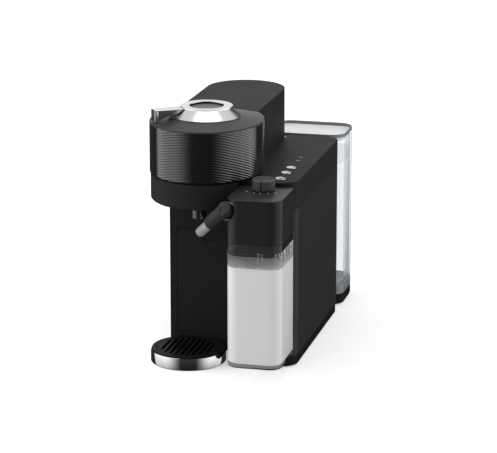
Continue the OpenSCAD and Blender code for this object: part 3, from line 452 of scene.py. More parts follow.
def metal(name, rgb, rough, stretch=(300.0, 300.0, 9000.0), strength=0.04, metallic=1.0):
    material, tree, shader = blank_material(name)
    source = effect(
        tree, "Brushed Lines", Colour=(*rgb, 1.0), Stretch=stretch, Rough_Low=rough[0], Rough_High=rough[1]
    )
    connect(tree, source, shader, strength, 0.00005)
    shader.inputs["Metallic"].default_value = metallic
    material.diffuse_color = (*rgb, 1.0)
    return material


def clear(name, rgb, rough=0.02, ior=1.49, haze=0.0, through=1.0):
    """Clear plastic: refracts what is behind it, and faint moulding haze varies its gloss."""
    material, tree, shader = blank_material(name)
    source = effect(
        tree, "Moulded Grain", Colour=(*rgb, 1.0), Grain_Scale=160.0, Rough_Low=rough,
        Rough_High=rough + 0.03,
        Colour_Change=haze,
    )
    connect(tree, source, shader, 0.02, 0.00005)
    shader.inputs["Transmission Weight"].default_value = through
    shader.inputs["IOR"].default_value = ior
    return material


def film(name, rgb, least, most):
    """Thin clear wall: nearly see-through face on, and more solid towards its outline."""
    material, tree, shader = blank_material(name)
    source = effect(
        tree, "Moulded Grain", Colour=(*rgb, 1.0), Grain_Scale=160.0, Rough_Low=0.08, Rough_High=0.14,
        Colour_Change=0.05
    )
    connect(tree, source, shader, 0.02, 0.00005)
    shader.inputs["Specular IOR Level"].default_value = 0.1
    # The grey shown more towards the outline is partly the wall's own tint and partly painted shade, standing
    # in for how a clear wall darkens when seen edge-on
    facing = node(tree, "ShaderNodeLayerWeight")
    edge = node(tree, "ShaderNodeMapRange", interpolation_type="SMOOTHSTEP")
    for label, value in (("From Min", 0.74), ("From Max", 0.88), ("To Min", least), ("To Max", most)):
        edge.inputs[label].default_value = value
    tree.links.new(facing.outputs["Facing"], edge.inputs["Value"])
    tree.links.new(edge.outputs["Result"], shader.inputs["Alpha"])
    return material


def smooth_faces_group():
    """Geometry nodes that let every face of a CAD node shade smoothly."""
    group = bpy.data.node_groups.new("Smooth Faces", "GeometryNodeTree")
    group.is_modifier = True
    for side in ("INPUT", "OUTPUT"):
        group.interface.new_socket(name="Geometry", in_out=side, socket_type="NodeSocketGeometry")
    given, out = group.nodes.new("NodeGroupInput"), group.nodes.new("NodeGroupOutput")
    smooth = group.nodes.new("GeometryNodeSetShadeSmooth")
    group.links.new(given.outputs[0], smooth.inputs["Geometry"])
    group.links.new(smooth.outputs["Geometry"], out.inputs[0])
    return group


def passes_light(piece):
    """Light falls through a clear piece onto what it holds."""
    piece.visible_shadow = False
    piece.visible_diffuse = False


class COFFEE_OT_finishes(bpy.types.Operator):
    """Make every material of the machine"""

    bl_idname = "coffee.finishes"
    bl_label = "Finishes"

    def execute(self, context):
        look = context.scene.coffee_finishes
        GROUPS["Moulded Grain"] = moulded_grain_group()
        GROUPS["Brushed Lines"] = brushed_group()
        FINISH["casing"] = moulded(
            "Charcoal Casing", look.casing, (0.48, 0.6), grain=1900.0, strength=0.3, shine=0.06
        )
        FINISH["gloss_black"] = moulded(
            "Gloss Black", look.gloss, (0.09, 0.15), grain=400.0, strength=0.03, coat=1.0
        )
        FINISH["soft_black"] = moulded(
            "Soft Black", look.soft, (0.42, 0.55), grain=1600.0, strength=0.3, shine=0.05
        )
        FINISH["inner_plastic"] = moulded("Inner Plastic", (0.08, 0.082, 0.086), (0.45, 0.6), grain=1200.0)
        FINISH["chrome"] = metal("Chrome", look.chrome, (0.04, 0.08))
        FINISH["satin_chrome"] = metal("Satin Chrome", (0.71, 0.715, 0.72), (0.2, 0.27))
        # A darker copy of the dial's chrome for the cone: the cone's shade is painted into its colour, and
        # the top lamp's highlight falls on it
        FINISH["cone_chrome"] = metal("Shaded Cone Chrome", (0.60, 0.605, 0.61), (0.2, 0.28))
        FINISH["lid_black"] = moulded(
            "Lid Black", (0.014, 0.0145, 0.015), (0.32, 0.42), grain=1900.0, strength=0.15, shine=0.28
        )
        FINISH["block_black"] = moulded(
            "Block Black", look.casing, (0.4, 0.5), grain=1900.0, strength=0.25, shine=0.18
        )
        FINISH["key_black"] = moulded(
            "Key Black", (0.055, 0.0555, 0.056), (0.3, 0.4), grain=900.0, strength=0.08, shine=0.4
        )
        # On the tank band this flat grey is a painted reflection that stands in for the band's dark chrome.
        # It also colours the tank cover's edge.
        FINISH["smoke_grey_and_painted_reflection"] = moulded(
            "Smoke Grey And Painted Reflection", (0.20, 0.203, 0.206), (0.25, 0.35), grain=900.0, strength=0.06
        )
        FINISH["dark_chrome"] = metal("Dark Chrome", (0.30, 0.305, 0.31), (0.28, 0.36))
        FINISH["steel"] = metal("Steel", (0.62, 0.62, 0.63), (0.2, 0.34))
        FINISH["aluminium"] = metal("Aluminium", (0.72, 0.73, 0.74), (0.3, 0.45))
        FINISH["copper"] = metal("Copper", (0.83, 0.45, 0.28), (0.2, 0.34))
        FINISH["knob_grey"] = moulded(
            "Knob Grey", look.knob, (0.36, 0.46), grain=2400.0, strength=0.25, shine=0.08
        )
        FINISH["clear"] = clear("Clear Plastic", (0.985, 0.99, 0.99), ior=1.25)
        FINISH["frosted"] = clear("Frosted Lid", (0.93, 0.94, 0.945), rough=0.32, haze=0.06, through=0.45)
        FINISH["rubber"] = moulded("Rubber", (0.018, 0.018, 0.018), (0.65, 0.8), grain=900.0, strength=0.5)
        FINISH["board"] = moulded("Circuit Board", (0.02, 0.12, 0.05), (0.35, 0.5), grain=600.0)
        FINISH["satin_black"] = moulded(
            "Satin Black", (0.027, 0.0275, 0.028), (0.36, 0.46), grain=900.0, strength=0.08, shine=0.2
        )
        FINISH["spout_black"] = moulded(
            "Spout Black", (0.03, 0.0305, 0.031), (0.36, 0.46), grain=1200.0, strength=0.15, shine=0.12
        )
        FINISH["satin_grey"] = moulded(
            "Satin Grey", (0.075, 0.076, 0.078), (0.3, 0.38), grain=900.0, strength=0.08, shine=0.4
        )
        FINISH["mark"] = moulded("Printed Mark", (0.42, 0.43, 0.44), (0.4, 0.5), grain=2600.0, strength=0.1)
        FINISH["button_silver"] = metal("Button Silver", (0.55, 0.56, 0.57), (0.18, 0.26))
        FINISH["steel_bright"] = metal(
            "Bright Steel", (0.82, 0.825, 0.83), (0.26, 0.32), (900.0, 900.0, 300.0), 0.01, 0.6
        )
        FINISH["milk"] = moulded("Milk", look.milk, (0.22, 0.3), grain=120.0, strength=0.02, change=0.03)
        FINISH["tank_wall"] = film("Tank Wall", (0.42, 0.45, 0.49), 0.07, 0.9)
        FINISH["water"] = film("Water", (0.66, 0.69, 0.72), 0.12, 0.3)
        FINISH["white_plastic"] = moulded("White Plastic", (0.72, 0.72, 0.70), (0.4, 0.5), grain=1200.0)
        return {"FINISHED"}


# ---- CAD nodes that keep their own shape ----------------------------------------------------

# Nodes whose finish departs a little from that of their slot. The tank band's dark chrome is swapped for a
# flat grey whose tone is a painted reflection.
OWN_FINISH = {
    "milk_lid": "lid_black", "tank_band": "smoke_grey_and_painted_reflection", "brew_housing": "casing",
    "block_shell": "block_black",
}
EDGE_MM = {
    "tower_shell": 0.2, "column_front": 0.5, "tower_front": 0.5, "tower_top": 0.4, "block_shell": 0.5,
    "deck_cap": 0.7, "brew_housing": 0.6, "brew_deck": 0.4, "coffee_outlet": 0.6, "plinth": 0.4,
    "head_frame": 0.4, "head_rim": 0.6, "ribbed_panel": 0.6, "dial_ring": 0.5, "dial_cone": 0.25,
    "dial_sleeve": 0.3, "release_lever": 0.5, "brew_button": 0.6, "button_front": 0.5, "button_middle": 0.5,
    "button_rear": 0.5, "drip_tray": 0.6, "tray_band": 0.3, "drip_grid": 0.3, "capsule_bin": 0.5,
    "milk_lid": 0.9, "froth_knob": 0.4, "spout_collar": 0.8, "spout_tube": 0.7, "spout_nozzle": 0.3,
    "milk_jug": 0.6, "water_tank": 0.5, "tank_band": 0.4, "tank_lid": 0.7, "tank_dock": 0.6,
}


class COFFEE_OT_casings(bpy.types.Operator):
    """Give the CAD nodes their finishes and soften the edges of those that show"""

    bl_idname = "coffee.casings"
    bl_label = "Casings"

    def execute(self, context):
        smooth = smooth_faces_group()
        by_node = {part["node"]: part["material_slot"] for part in frame["record"]["subparts"]}
        for name, piece in frame["nodes"].items():
            material = FINISH[OWN_FINISH.get(name, by_node.get(name, "inner_plastic"))]
            for index in range(len(piece.material_slots)):
                piece.material_slots[index].material = material
            edge = EDGE_MM.get(name)
            if edge:
                weld = piece.modifiers.new("Weld", "WELD")
                weld.merge_threshold = 2e-6
                piece.modifiers.new("Smooth Faces", "NODES").node_group = smooth
                bevel = piece.modifiers.new("Soft Edges", "BEVEL")
                bevel.width = edge * MM
                bevel.segments = 3
                bevel.limit_method = "ANGLE"
                bevel.angle_limit = math.radians(35.0)
                bevel.use_clamp_overlap = False
                bevel.loop_slide = False
                level = piece.modifiers.new("Flat Faces", "WEIGHTED_NORMAL")
                level.weight = 50
        return {"FINISHED"}


# ---- Head, dial and lever -------------------------------------------------------------------


class COFFEE_OT_head(bpy.types.Operator):
    """Ribbed panel and sloping rim of the brewing head"""

    bl_idname = "coffee.head"
    bl_label = "Brewing Head"

    def execute(self, context):
        size = context.scene.coffee_head
        lo, hi = drawn("ribbed_panel")
        half_w, half_d = (hi.x - lo.x) / 2, size.depth / 2
        centre_y = lo.y + half_d
        # The ribs lie in slanted planes: each drops towards the rear, all round the panel
        fall = RIB_FALL * (hi.y - lo.y)
        profile = []
        for index in range(math.ceil((hi.z + fall - lo.z) / size.rib_pitch) + 1):
            base = lo.z + (index - 0.5) * size.rib_pitch
            for share, deep in RIB_WAVE:
                profile.append((half_w - size.rib_depth * deep, base + share * size.rib_pitch))
        bm = bmesh.new()
        spun(bm, profile, steps=112, closed=False)
        moved(bm, Matrix.Translation((0, centre_y, 0)) @ Matrix.Diagonal((1.0, half_d / half_w, 1.0, 1.0)))
        slant = Matrix.Identity(4)
        slant[2][1], slant[2][3] = -RIB_FALL, RIB_FALL * lo.y
        moved(bm, slant)
        pin_lo, pin_hi = drawn("hinge_pin")
        hinge = (pin_lo + pin_hi) / 2
        for point, normal in (
            ((0, 0, hi.z), (0, 0, 1)),
            ((0, 0, lo.z + PANEL_GAP), (0, 0, -1)),
            ((0, hi.y, 0), (0, 1, 0)),
            # the upper rear corner clears the tower as the head lifts
            ((0, hi.y, hinge.z - HINGE_ROOM), (0, 5.4, 3.2)),
        ):
            trimmed(bm, point, normal)
        facing_out(bm, Vector((0, centre_y, 0)))
        panel = finish(
            bm, "ribbed_front", "head", FINISH["gloss_black"], ["ribbed_panel"],
            angle=60, outward=False
        )
        wall = panel.modifiers.new("Wall", "SOLIDIFY")
        wall.thickness = (PANEL - size.rib_depth - 0.3) * MM
        wall.offset = -1.0

        bm = bmesh.new()
        loops = []
        for inset, z in ((1.5, lo.z), (1.5, lo.z + 3.0), (2.3, lo.z + 3.0), (2.3, lo.z)):
            radius = half_w - inset
            loops.append(ring(bm, radius, radius * half_d / half_w, 0.0, centre_y, z, 144))
        for inner, outer in zip(loops, loops[1:] + loops[:1]):
            bmesh.ops.bridge_loops(bm, edges=edges_among(inner) + edges_among(outer))
        cut_off(bm, (0, hi.y, 0), (0, 1, 0))
        finish(bm, "panel_gap", "head", FINISH["soft_black"], ())

        rim_lo, rim_hi = drawn("head_rim")
        rings = [
            (SLEEVE + 0.4, 0, rim_lo.z),
            (half_w - PANEL - 0.1, 1, rim_lo.z),
            (half_w - PANEL - 0.1, 1, RIM_EDGE - 1.2),
            (half_w - 0.5, 1, RIM_EDGE - 1.2),
            (half_w - 0.1, 1, RIM_EDGE - 1.05),
            (half_w, 1, RIM_EDGE - 0.7),
            (half_w - 0.12, 1, RIM_EDGE - 0.35),
            (half_w - 0.6, 1, RIM_EDGE),
            (half_w - 2.0, 1, RIM_EDGE + 0.25),
            (CONE + 0.9, 0, rim_hi.z - 0.15),
            (CONE + 0.3, 0, rim_hi.z),
            (SLEEVE + 0.8, 0, rim_hi.z),
            (SLEEVE + 0.4, 0, rim_hi.z - 0.4),
        ]
        bm = bmesh.new()
        loops = []
        for radius, oval, z in rings:
            ry = radius * half_d / half_w if oval else radius
            loops.append(ring(bm, radius, ry, 0.0, centre_y if oval else AXIS_Y, z, 144))
        loops.append(loops[0])
        for inner, outer in zip(loops, loops[1:]):
            bmesh.ops.bridge_loops(bm, edges=edges_among(inner) + edges_among(outer))
        cut_off(bm, (0, hinge.y - HINGE_CUT, 0), (0, 1, 0))
        finish(bm, "head_cover", "head", FINISH["satin_black"], ["head_rim"], angle=40)
        return {"FINISHED"}


def lever_frame():
    """From the lever's own drawing, x outwards along the arm and y towards its front, to the machine."""
    return Matrix.Translation((0, AXIS_Y, 0)) @ Matrix.Rotation(math.radians(-90 - LEVER_TURN), 4, "Z")


def slice_of(bm, outline, y0, y1, soft=0.0):
    """A plate with an outline in x and z, between two depths."""
    part = bmesh.new()
    face = part.faces.new([part.verts.new((x, y0, z)) for x, z in outline])
    raised(part, [face], (0, y1 - y0, 0))
    if soft > 0:
        soften(part, part.edges[:], soft, 2)
    merge_in(bm, part)


class COFFEE_OT_dial(bpy.types.Operator):
    """Dial ring, cone, release lever and brew button"""

    bl_idname = "coffee.dial"
    bl_label = "Dial And Lever"

    def execute(self, context):
        lo, hi = drawn("dial_ring")
        outer = (hi.x - lo.x) / 2
        top, under = hi.z, lo.z
        axis = Matrix.Translation((0, AXIS_Y, 0))
        chrome = FINISH["satin_chrome"]

        bm = bmesh.new()
        spun(
            bm,
            [
                (DIAL_HOLE, under),
                (DIAL_HOLE, top - 0.9),
                (DIAL_HOLE + 0.25, top - 0.3),
                (DIAL_HOLE + 0.9, top),
                (outer - 1.3, top - 0.1),
                (outer - 0.45, top - 0.45),
                (outer, top - 1.2),
                (outer, under),
            ],
            steps=128,
        )
        moved(bm, axis)
        finish(bm, "dial_face", "dial", chrome, ["dial_ring"])

        bm = bmesh.new()
        liner = (
            (DIAL_HOLE - 0.95, under), (DIAL_HOLE - 0.95, top - 0.9), (DIAL_HOLE - 0.02, top - 0.7),
            (DIAL_HOLE - 0.02, under)
        )
        spun(bm, liner, steps=128)
        moved(bm, axis)
        finish(bm, "dial_liner", "dial", FINISH["soft_black"], ())

        cone_lo = drawn("dial_cone")[0].z
        flare = [
            (outer - 0.2, top - 1.2),
            (outer + 2.6, top - 3.9),
            (outer + 5.4, top - 6.3),
            (CONE - 3.0, cone_lo + 2.4),
            (CONE - 0.3, cone_lo + 0.35),
            (CONE, cone_lo),
            (CONE - 0.7, cone_lo - 0.2),
            (CONE - 3.8, cone_lo + 0.6),
            (outer - 0.6, top - 4.0),
        ]
        bm = bmesh.new()
        spun(bm, flare, steps=72, sweep=CONE_LEFT + CONE_RIGHT, start=-90 - CONE_LEFT)
        moved(bm, axis)
        finish(bm, "dial_flare", "dial", FINISH["cone_chrome"], ["dial_cone"])

        shadow = [(r - 1.1, z - 1.6) for r, z in flare]
        bm = bmesh.new()
        spun(bm, shadow, steps=96, sweep=252.0 - CONE_RIGHT, start=CONE_RIGHT - 89.0)
        moved(bm, axis)
        finish(bm, "dial_skirt", "dial", FINISH["satin_black"], ())

        tip = context.scene.coffee_head.lever_reach
        half = LEVER_W / 2
        arm_top = drawn("release_lever")[1].z
        arm_low = drawn("release_lever")[0].z
        bm = bmesh.new()
        block(bm, (DIAL_HOLE + 6, -half, arm_top - 1.7), (tip, half, arm_top), 0.45, 3)
        block(bm, (tip - 4.3, -half, arm_low), (tip, half, arm_top - 0.4), 0.7, 3)
        for side in (-1, 1):
            wall = sorted((side * half, side * (half - 1.4)))
            slice_of(
                bm,
                [
                    (outer - 1.5, arm_top - 0.6),
                    (outer + 6.5, arm_top - 0.6),
                    (outer + 18.6, arm_top - 6.8),
                    (outer + 12.6, arm_top - 10.3),
                    (outer + 9.0, arm_top - 8.8),
                ],
                wall[0],
                wall[1],
                0.25,
            )
        moved(bm, lever_frame())
        finish(bm, "lever_chrome", "dial", chrome, ["release_lever"])

        bm = bmesh.new()
        slice_of(
            bm,
            [
                (outer, arm_top - 1.5),
                (tip - 4.0, arm_top - 1.5),
                (tip - 4.0, arm_low + 1.2),
                (outer + 18.4, arm_top - 7.4),
                (outer + 12.0, arm_top - 9.8),
                (outer, arm_top - 6.0),
            ],
            -half + 0.5,
            half - 0.5,
            0.3,
        )
        moved(bm, lever_frame())
        finish(bm, "lever_core", "dial", FINISH["satin_grey"], ())

        key_lo, key_hi = drawn("brew_button")
        key_hi.z += KEY_RISE
        r = (key_hi.x - key_lo.x) / 2
        bm = bmesh.new()
        spun(
            bm,
            [
                (0.0, key_hi.z - 1.0),
                (r * 0.45, key_hi.z - 0.85),
                (r * 0.8, key_hi.z - 0.35),
                (r - 1.0, key_hi.z),
                (r - 0.3, key_hi.z - 0.3),
                (r, key_hi.z - 1.0),
                (r, key_hi.z - 8.0),
                (r - 4.0, key_hi.z - 8.6),
                (r - 4.0, key_lo.z),
                (0.0, key_lo.z),
            ],
            steps=96,
            closed=False,
        )
        moved(bm, axis)
        finish(bm, "brew_key_cap", "brew_key", FINISH["key_black"], ["brew_button"])
        bm = bmesh.new()
        for x in (-1.9, 2.5):
            bar(bm, (x, AXIS_Y - 5.5, key_hi.z - 1.05), (0, 0, 1), 0.3, 1.5, 24)
        finish(bm, "brew_key_marks", "brew_key", FINISH["mark"], ())
        return {"FINISHED"}


# ---- Deck buttons and tray ------------------------------------------------------------------


class COFFEE_OT_deck(bpy.types.Operator):
    """Deck buttons with their marks"""

    bl_idname = "coffee.deck"
    bl_label = "Deck And Outlet"

    def execute(self, context):
        deck_top = drawn("deck_cap")[1].z
        for name in ("button_front", "button_middle", "button_rear"):
            lo, hi = drawn(name)
            x, y = (lo.x + hi.x) / 2, (lo.y + hi.y) / 2
            r = BUTTON_R
            bm = bmesh.new()
            spun(
                bm,
                [
                    (0.0, hi.z - 0.55),
                    (r * 0.4, hi.z - 0.5),
                    (r * 0.75, hi.z - 0.25),
                    (r - 0.9, hi.z),
                    (r - 0.25, hi.z - 0.2),
                    (r, hi.z - 0.8),
                    (r, hi.z - 3.2),
                    (r - 1.5, hi.z - 3.2),
                    (r - 1.5, lo.z),
                    (0.0, lo.z),
                ],
                steps=64,
                closed=False,
            )
            moved(bm, Matrix.Translation((x, y, 0)))
            body = "key_" + name.split("_")[1]
            finish(bm, "cap_" + name.split("_")[1], body, FINISH["button_silver"], [name])
        bm = bmesh.new()
        for y in DECK_MARKS:
            block(
                bm, (BUTTON_X - 2.2, y - 0.9, deck_top - 0.2),
                (BUTTON_X + 2.2, y + 0.9, deck_top + 0.12), 0.08, 1
            )
        finish(bm, "deck_marks", "machine", FINISH["mark"], ())
        return {"FINISHED"}


class COFFEE_OT_tray(bpy.types.Operator):
    """Chrome band of the drip tray"""

    bl_idname = "coffee.tray"
    bl_label = "Drip Tray"

    def execute(self, context):
        lo, hi = drawn("tray_band")
        r = (hi.x - lo.x) / 2
        bm = bmesh.new()
        spun(
            bm,
            [
                (r - 1.15, lo.z + 0.4),
                (r - 0.6, lo.z),
                (r - 0.15, lo.z + 0.2),
                (r, lo.z + 0.7),
                (r, hi.z - 0.7),
                (r - 0.15, hi.z - 0.2),
                (r - 0.6, hi.z),
                (r - 1.15, hi.z - 0.2),
            ],
            steps=144,
        )
        moved(bm, Matrix.Translation(((lo.x + hi.x) / 2, (lo.y + hi.y) / 2, 0)))
        finish(bm, "band_chrome", "tray", FINISH["chrome"], ["tray_band"])
        return {"FINISHED"}


# ---- Milk jug, lid, knob and spout ----------------------------------------------------------


class COFFEE_OT_jug(bpy.types.Operator):
    """Clear jug, its milk and the level marks"""

    bl_idname = "coffee.jug"
    bl_label = "Milk Jug"

    def execute(self, context):
        lo, hi = drawn("milk_jug")
        bm = bmesh.new()
        base = corner_face(bm, lo, hi, JUG_CORNERS, lo.z, 12)
        top = raised(bm, base, (0, 0, hi.z - lo.z))
        bmesh.ops.inset_region(bm, faces=top, thickness=JUG_WALL, depth=0.0, use_even_offset=True)
        raised(bm, top, (0, 0, lo.z + JUG_FLOOR - hi.z))
        soften(bm, level_edges(bm, lo.z + JUG_FLOOR), 2.6, 5)
        soften(bm, level_edges(bm, lo.z), 2.4, 5)
        soften(bm, level_edges(bm, hi.z), 0.5, 2)
        passes_light(finish(bm, "jug_glass", "jug", FINISH["clear"], ["milk_jug"], angle=50))

        inset = JUG_WALL + 0.06
        bm = bmesh.new()
        inner_lo = (lo.x + inset, lo.y + inset)
        inner_hi = (hi.x - inset, hi.y - inset)
        radii = [max(r - inset, 1.2) for r in JUG_CORNERS]
        base = corner_face(bm, inner_lo, inner_hi, radii, lo.z + JUG_FLOOR + 0.06, 12)
        raised(bm, base, (0, 0, MILK_TOP - lo.z - JUG_FLOOR))
        soften(bm, level_edges(bm, lo.z + JUG_FLOOR + 0.06), 2.6, 5)
        finish(bm, "milk_fill", "jug", FINISH["milk"], (), angle=50)

        bm = bmesh.new()
        for x in (-14.0, 4.5):
            middle = (lo.x + hi.x) / 2 + x
            block(bm, (middle, lo.y, MAX_MARK - 0.55), (middle + 6.5, lo.y + 0.25, MAX_MARK + 0.55))
        finish(bm, "level_marks", "jug", FINISH["mark"], ())
        return {"FINISHED"}


class COFFEE_OT_lid(bpy.types.Operator):
    """Froth knob, spout and the marks on the milk lid"""

    bl_idname = "coffee.lid"
    bl_label = "Milk Lid"

    def execute(self, context):
        lo, hi = drawn("froth_knob")
        x, y = (lo.x + hi.x) / 2, (lo.y + hi.y) / 2
        r = (hi.x - lo.x) / 2
        foot = drawn("milk_lid")[1].z + 0.4
        groove = 8.0
        rim = [
            (r - 6.5, foot),
            (r - 0.5, foot),
            (r, foot + 0.5),
            (r, hi.z - 1.5),
            (r - 0.35, hi.z - 0.9),
            (r - 1.3, hi.z),
            (r - 1.9, hi.z - 0.1),
            (r - 2.3, hi.z - 0.5),
            (r - 6.5, hi.z - 0.6),
        ]
        bm = bmesh.new()
        spun(bm, rim, steps=96, sweep=360.0 - groove, start=-90.0 + groove / 2)
        part = bmesh.new()
        spun(
            part,
            [(r - 6.6, foot), (r - 1.1, foot + 0.2), (r - 1.1, hi.z - 1.0), (r - 6.6, hi.z - 1.0)],
            steps=4,
            sweep=groove + 2.0,
            start=-91.0 - groove / 2,
        )
        merge_in(bm, part)
        part = bmesh.new()
        spun(
            part,
            [(0.0, foot), (r - 6.45, foot), (r - 6.45, hi.z - 0.6), (0.0, hi.z - 0.75)],
            steps=64,
            closed=False,
        )
        merge_in(bm, part)
        bar(bm, (0, 0, lo.z), (0, 0, 1), foot - lo.z + 0.5, 4.0, 32)
        moved(bm, Matrix.Translation((x, y, 0)))
        finish(bm, "knob_cap", "knob", FINISH["knob_grey"], ["froth_knob"])

        bm = bmesh.new()
        spun(
            bm,
            [
                (r - 0.02, hi.z - 1.5), (r - 0.33, hi.z - 0.88), (r - 1.3, hi.z + 0.03),
                (r - 1.9, hi.z - 0.07), (r - 1.6, hi.z - 1.0)
            ],
            steps=96,
            sweep=360.0 - groove - 2.0,
            start=-89.0 + groove / 2,
        )
        moved(bm, Matrix.Translation((x, y, 0)))
        finish(bm, "knob_trim", "knob", FINISH["satin_grey"], ())

        swivel, swivel_dir, spout_dir = Vector(SWIVEL), Vector(SWIVEL_DIR), Vector(SPOUT_DIR)
        bm = bmesh.new()
        bar(bm, swivel, -swivel_dir, 10.5, 8.2, 64, 0.7)
        start = swivel - 5.0 * swivel_dir
        bar(bm, start, spout_dir, SPOUT_TUBE, 8.4, 64, 0.8)
        finish(bm, "spout_body", "spout", FINISH["spout_black"], ["spout_tube"])
        bm = bmesh.new()
        nose = SPOUT_LEN - SPOUT_TUBE + 9.5
        spun(
            bm,
            [
                (4.6, 0.0), (5.8, 0.3), (5.8, nose - 0.5), (5.5, nose), (4.8, nose), (4.6, nose - 0.4),
                (4.6, 0.0)
            ],
            steps=64,
        )
        aim = spout_dir.to_track_quat("Z", "Y").to_matrix().to_4x4()
        moved(bm, Matrix.Translation(start + spout_dir * (SPOUT_TUBE - 9.5)) @ aim)
        finish(bm, "spout_tip", "spout", FINISH["steel_bright"], ["spout_nozzle"])

        top = drawn("milk_lid")[1].z
        bm = bmesh.new()
        for turn, reach in ((-142, 21.0), (-112, 19.5), (-88, 19.0), (-62, 19.5), (-36, 21.0)):
            a = math.radians(turn)
            bar(bm, (x + reach * math.cos(a), y + reach * math.sin(a), top - 0.1), (0, 0, 1), 0.22, 1.0, 16)
        finish(bm, "lid_marks", "lid", FINISH["mark"], ())
        side = drawn("milk_lid")[1].x
        # A thin dark plate, a touch proud of the lid's side, stands for the slit: its darkness is painted
        # shade of the opening
        bm = bmesh.new()
        block(bm, (side - 0.6, SLIT[0], SLIT[2]), (side + 0.04, SLIT[1], SLIT[3]), 0.2)
        finish(bm, "lid_slit_shade", "lid", FINISH["soft_black"], ())
        return {"FINISHED"}


# ---- Water tank -----------------------------------------------------------------------------


TANK_FLOOR, WATER_FLOOR = 2.5, 2.56
# Depth under the water's top and thickness of the painted band at the water's surface
SURFACE_DEPTH, SURFACE_THICK = 12.0, 11.5
COVER_INSET, COVER_EDGE, COVER_GAP = 0.95, 0.9, 0.15
SKIRT_DROP, SKIRT_HEIGHT = 4.0, 4.2


class COFFEE_OT_tank(bpy.types.Operator):
    """Clear tank, its water and the translucent lid"""

    bl_idname = "coffee.tank"
    bl_label = "Water Tank"

    def execute(self, context):
        hi = drawn("water_tank")[1]
        band_hi = drawn("tank_band")[1]
        plan_lo, plan_hi = drawn("tank_lid")
        bm = bmesh.new()
        base = corner_face(bm, plan_lo, plan_hi, TANK_CORNERS, band_hi.z, 14)
        top = raised(bm, base, (0, 0, hi.z - band_hi.z))
        bmesh.ops.inset_region(bm, faces=top, thickness=TANK_WALL, depth=0.0, use_even_offset=True)
        raised(bm, top, (0, 0, band_hi.z + TANK_FLOOR - hi.z))
        soften(bm, level_edges(bm, band_hi.z + TANK_FLOOR), 2.0, 4)
        soften(bm, level_edges(bm, hi.z), 0.5, 2)
        passes_light(finish(bm, "tank_shell", "tank", FINISH["tank_wall"], ["water_tank"], angle=50))

        inset = TANK_WALL + 0.06
        bm = bmesh.new()
        water_lo = (plan_lo.x + inset, plan_lo.y + inset)
        water_hi = (plan_hi.x - inset, plan_hi.y - inset)
        radii = [r - inset for r in TANK_CORNERS]
        base = corner_face(bm, water_lo, water_hi, radii, band_hi.z + WATER_FLOOR, 14)
        raised(bm, base, (0, 0, WATER_TOP - band_hi.z - WATER_FLOOR))
        soften(bm, level_edges(bm, band_hi.z + WATER_FLOOR), 2.0, 4)
        passes_light(finish(bm, "tank_water", "tank", FINISH["water"], (), angle=50))

        # A second layer of water film just under the top greys the water in a band: a painted band standing
        # in for the light bent and reflected at the water's surface
        bm = bmesh.new()
        inset += 0.5
        water_lo, water_hi = (plan_lo.x + inset, plan_lo.y + inset), (plan_hi.x - inset, plan_hi.y - inset)
        base = corner_face(
            bm, water_lo, water_hi, [r - inset for r in TANK_CORNERS], WATER_TOP - SURFACE_DEPTH, 14
        )
        raised(bm, base, (0, 0, SURFACE_THICK))
        passes_light(finish(bm, "water_surface_painted_band", "tank", FINISH["water"], (), angle=50))

        bm = bmesh.new()
        rim = COVER_INSET
        # At this height corner_face finds nothing, so nothing is raised and the plate stays one flat sheet
        cover_lo, cover_hi = (plan_lo.x + rim, plan_lo.y + rim), (plan_hi.x - rim, plan_hi.y - rim)
        base = corner_face(bm, cover_lo, cover_hi, [r - rim for r in TANK_CORNERS], hi.z + COVER_GAP, 14)
        raised(bm, base, (0, 0, plan_hi.z - hi.z - COVER_GAP))
        soften(bm, level_edges(bm, plan_hi.z), 1.0, 3)
        soften(bm, level_edges(bm, hi.z + COVER_GAP), 0.4, 2)
        skirt = TANK_WALL + 0.5
        part = bmesh.new()
        skirt_lo = (plan_lo.x + skirt, plan_lo.y + skirt)
        skirt_hi = (plan_hi.x - skirt, plan_hi.y - skirt)
        radii = [r - skirt for r in TANK_CORNERS]
        base = corner_face(part, skirt_lo, skirt_hi, radii, hi.z - SKIRT_DROP, 14)
        raised(part, base, (0, 0, SKIRT_HEIGHT))
        merge_in(bm, part)
        edge = bmesh.new()
        base = corner_face(edge, plan_lo, plan_hi, TANK_CORNERS, hi.z + 0.5, 14)
        inner = bmesh.ops.inset_region(
            edge, faces=base, thickness=COVER_EDGE, depth=0.0, use_even_offset=True, use_boundary=True
        )["faces"]
        bmesh.ops.delete(edge, geom=base, context="FACES")
        raised(edge, inner, (0, 0, plan_hi.z - hi.z - 0.6))
        finish(edge, "tank_cover_edge", "tank_cover", FINISH["smoke_grey_and_painted_reflection"], (), angle=50)
        cover = finish(
            bm, "tank_cover_plate", "tank_cover", FINISH["frosted"], ["tank_lid"], angle=50
        )
        passes_light(cover)
        return {"FINISHED"}


# ---- Stage, lights and camera ---------------------------------------------------------------

CAMERA_AT = (681.86, -2731.36, 889.05)
CAMERA_BACK = (0.23317, -0.93727, 0.25916)
FOCAL_PIXELS, FRAME_WIDTH, SENSOR = 2400.0, 497.0, 36.0
CAMERA_LENS = FOCAL_PIXELS / FRAME_WIDTH * SENSOR
CAMERA_TURN = math.atan2(CAMERA_BACK[0], -CAMERA_BACK[1])
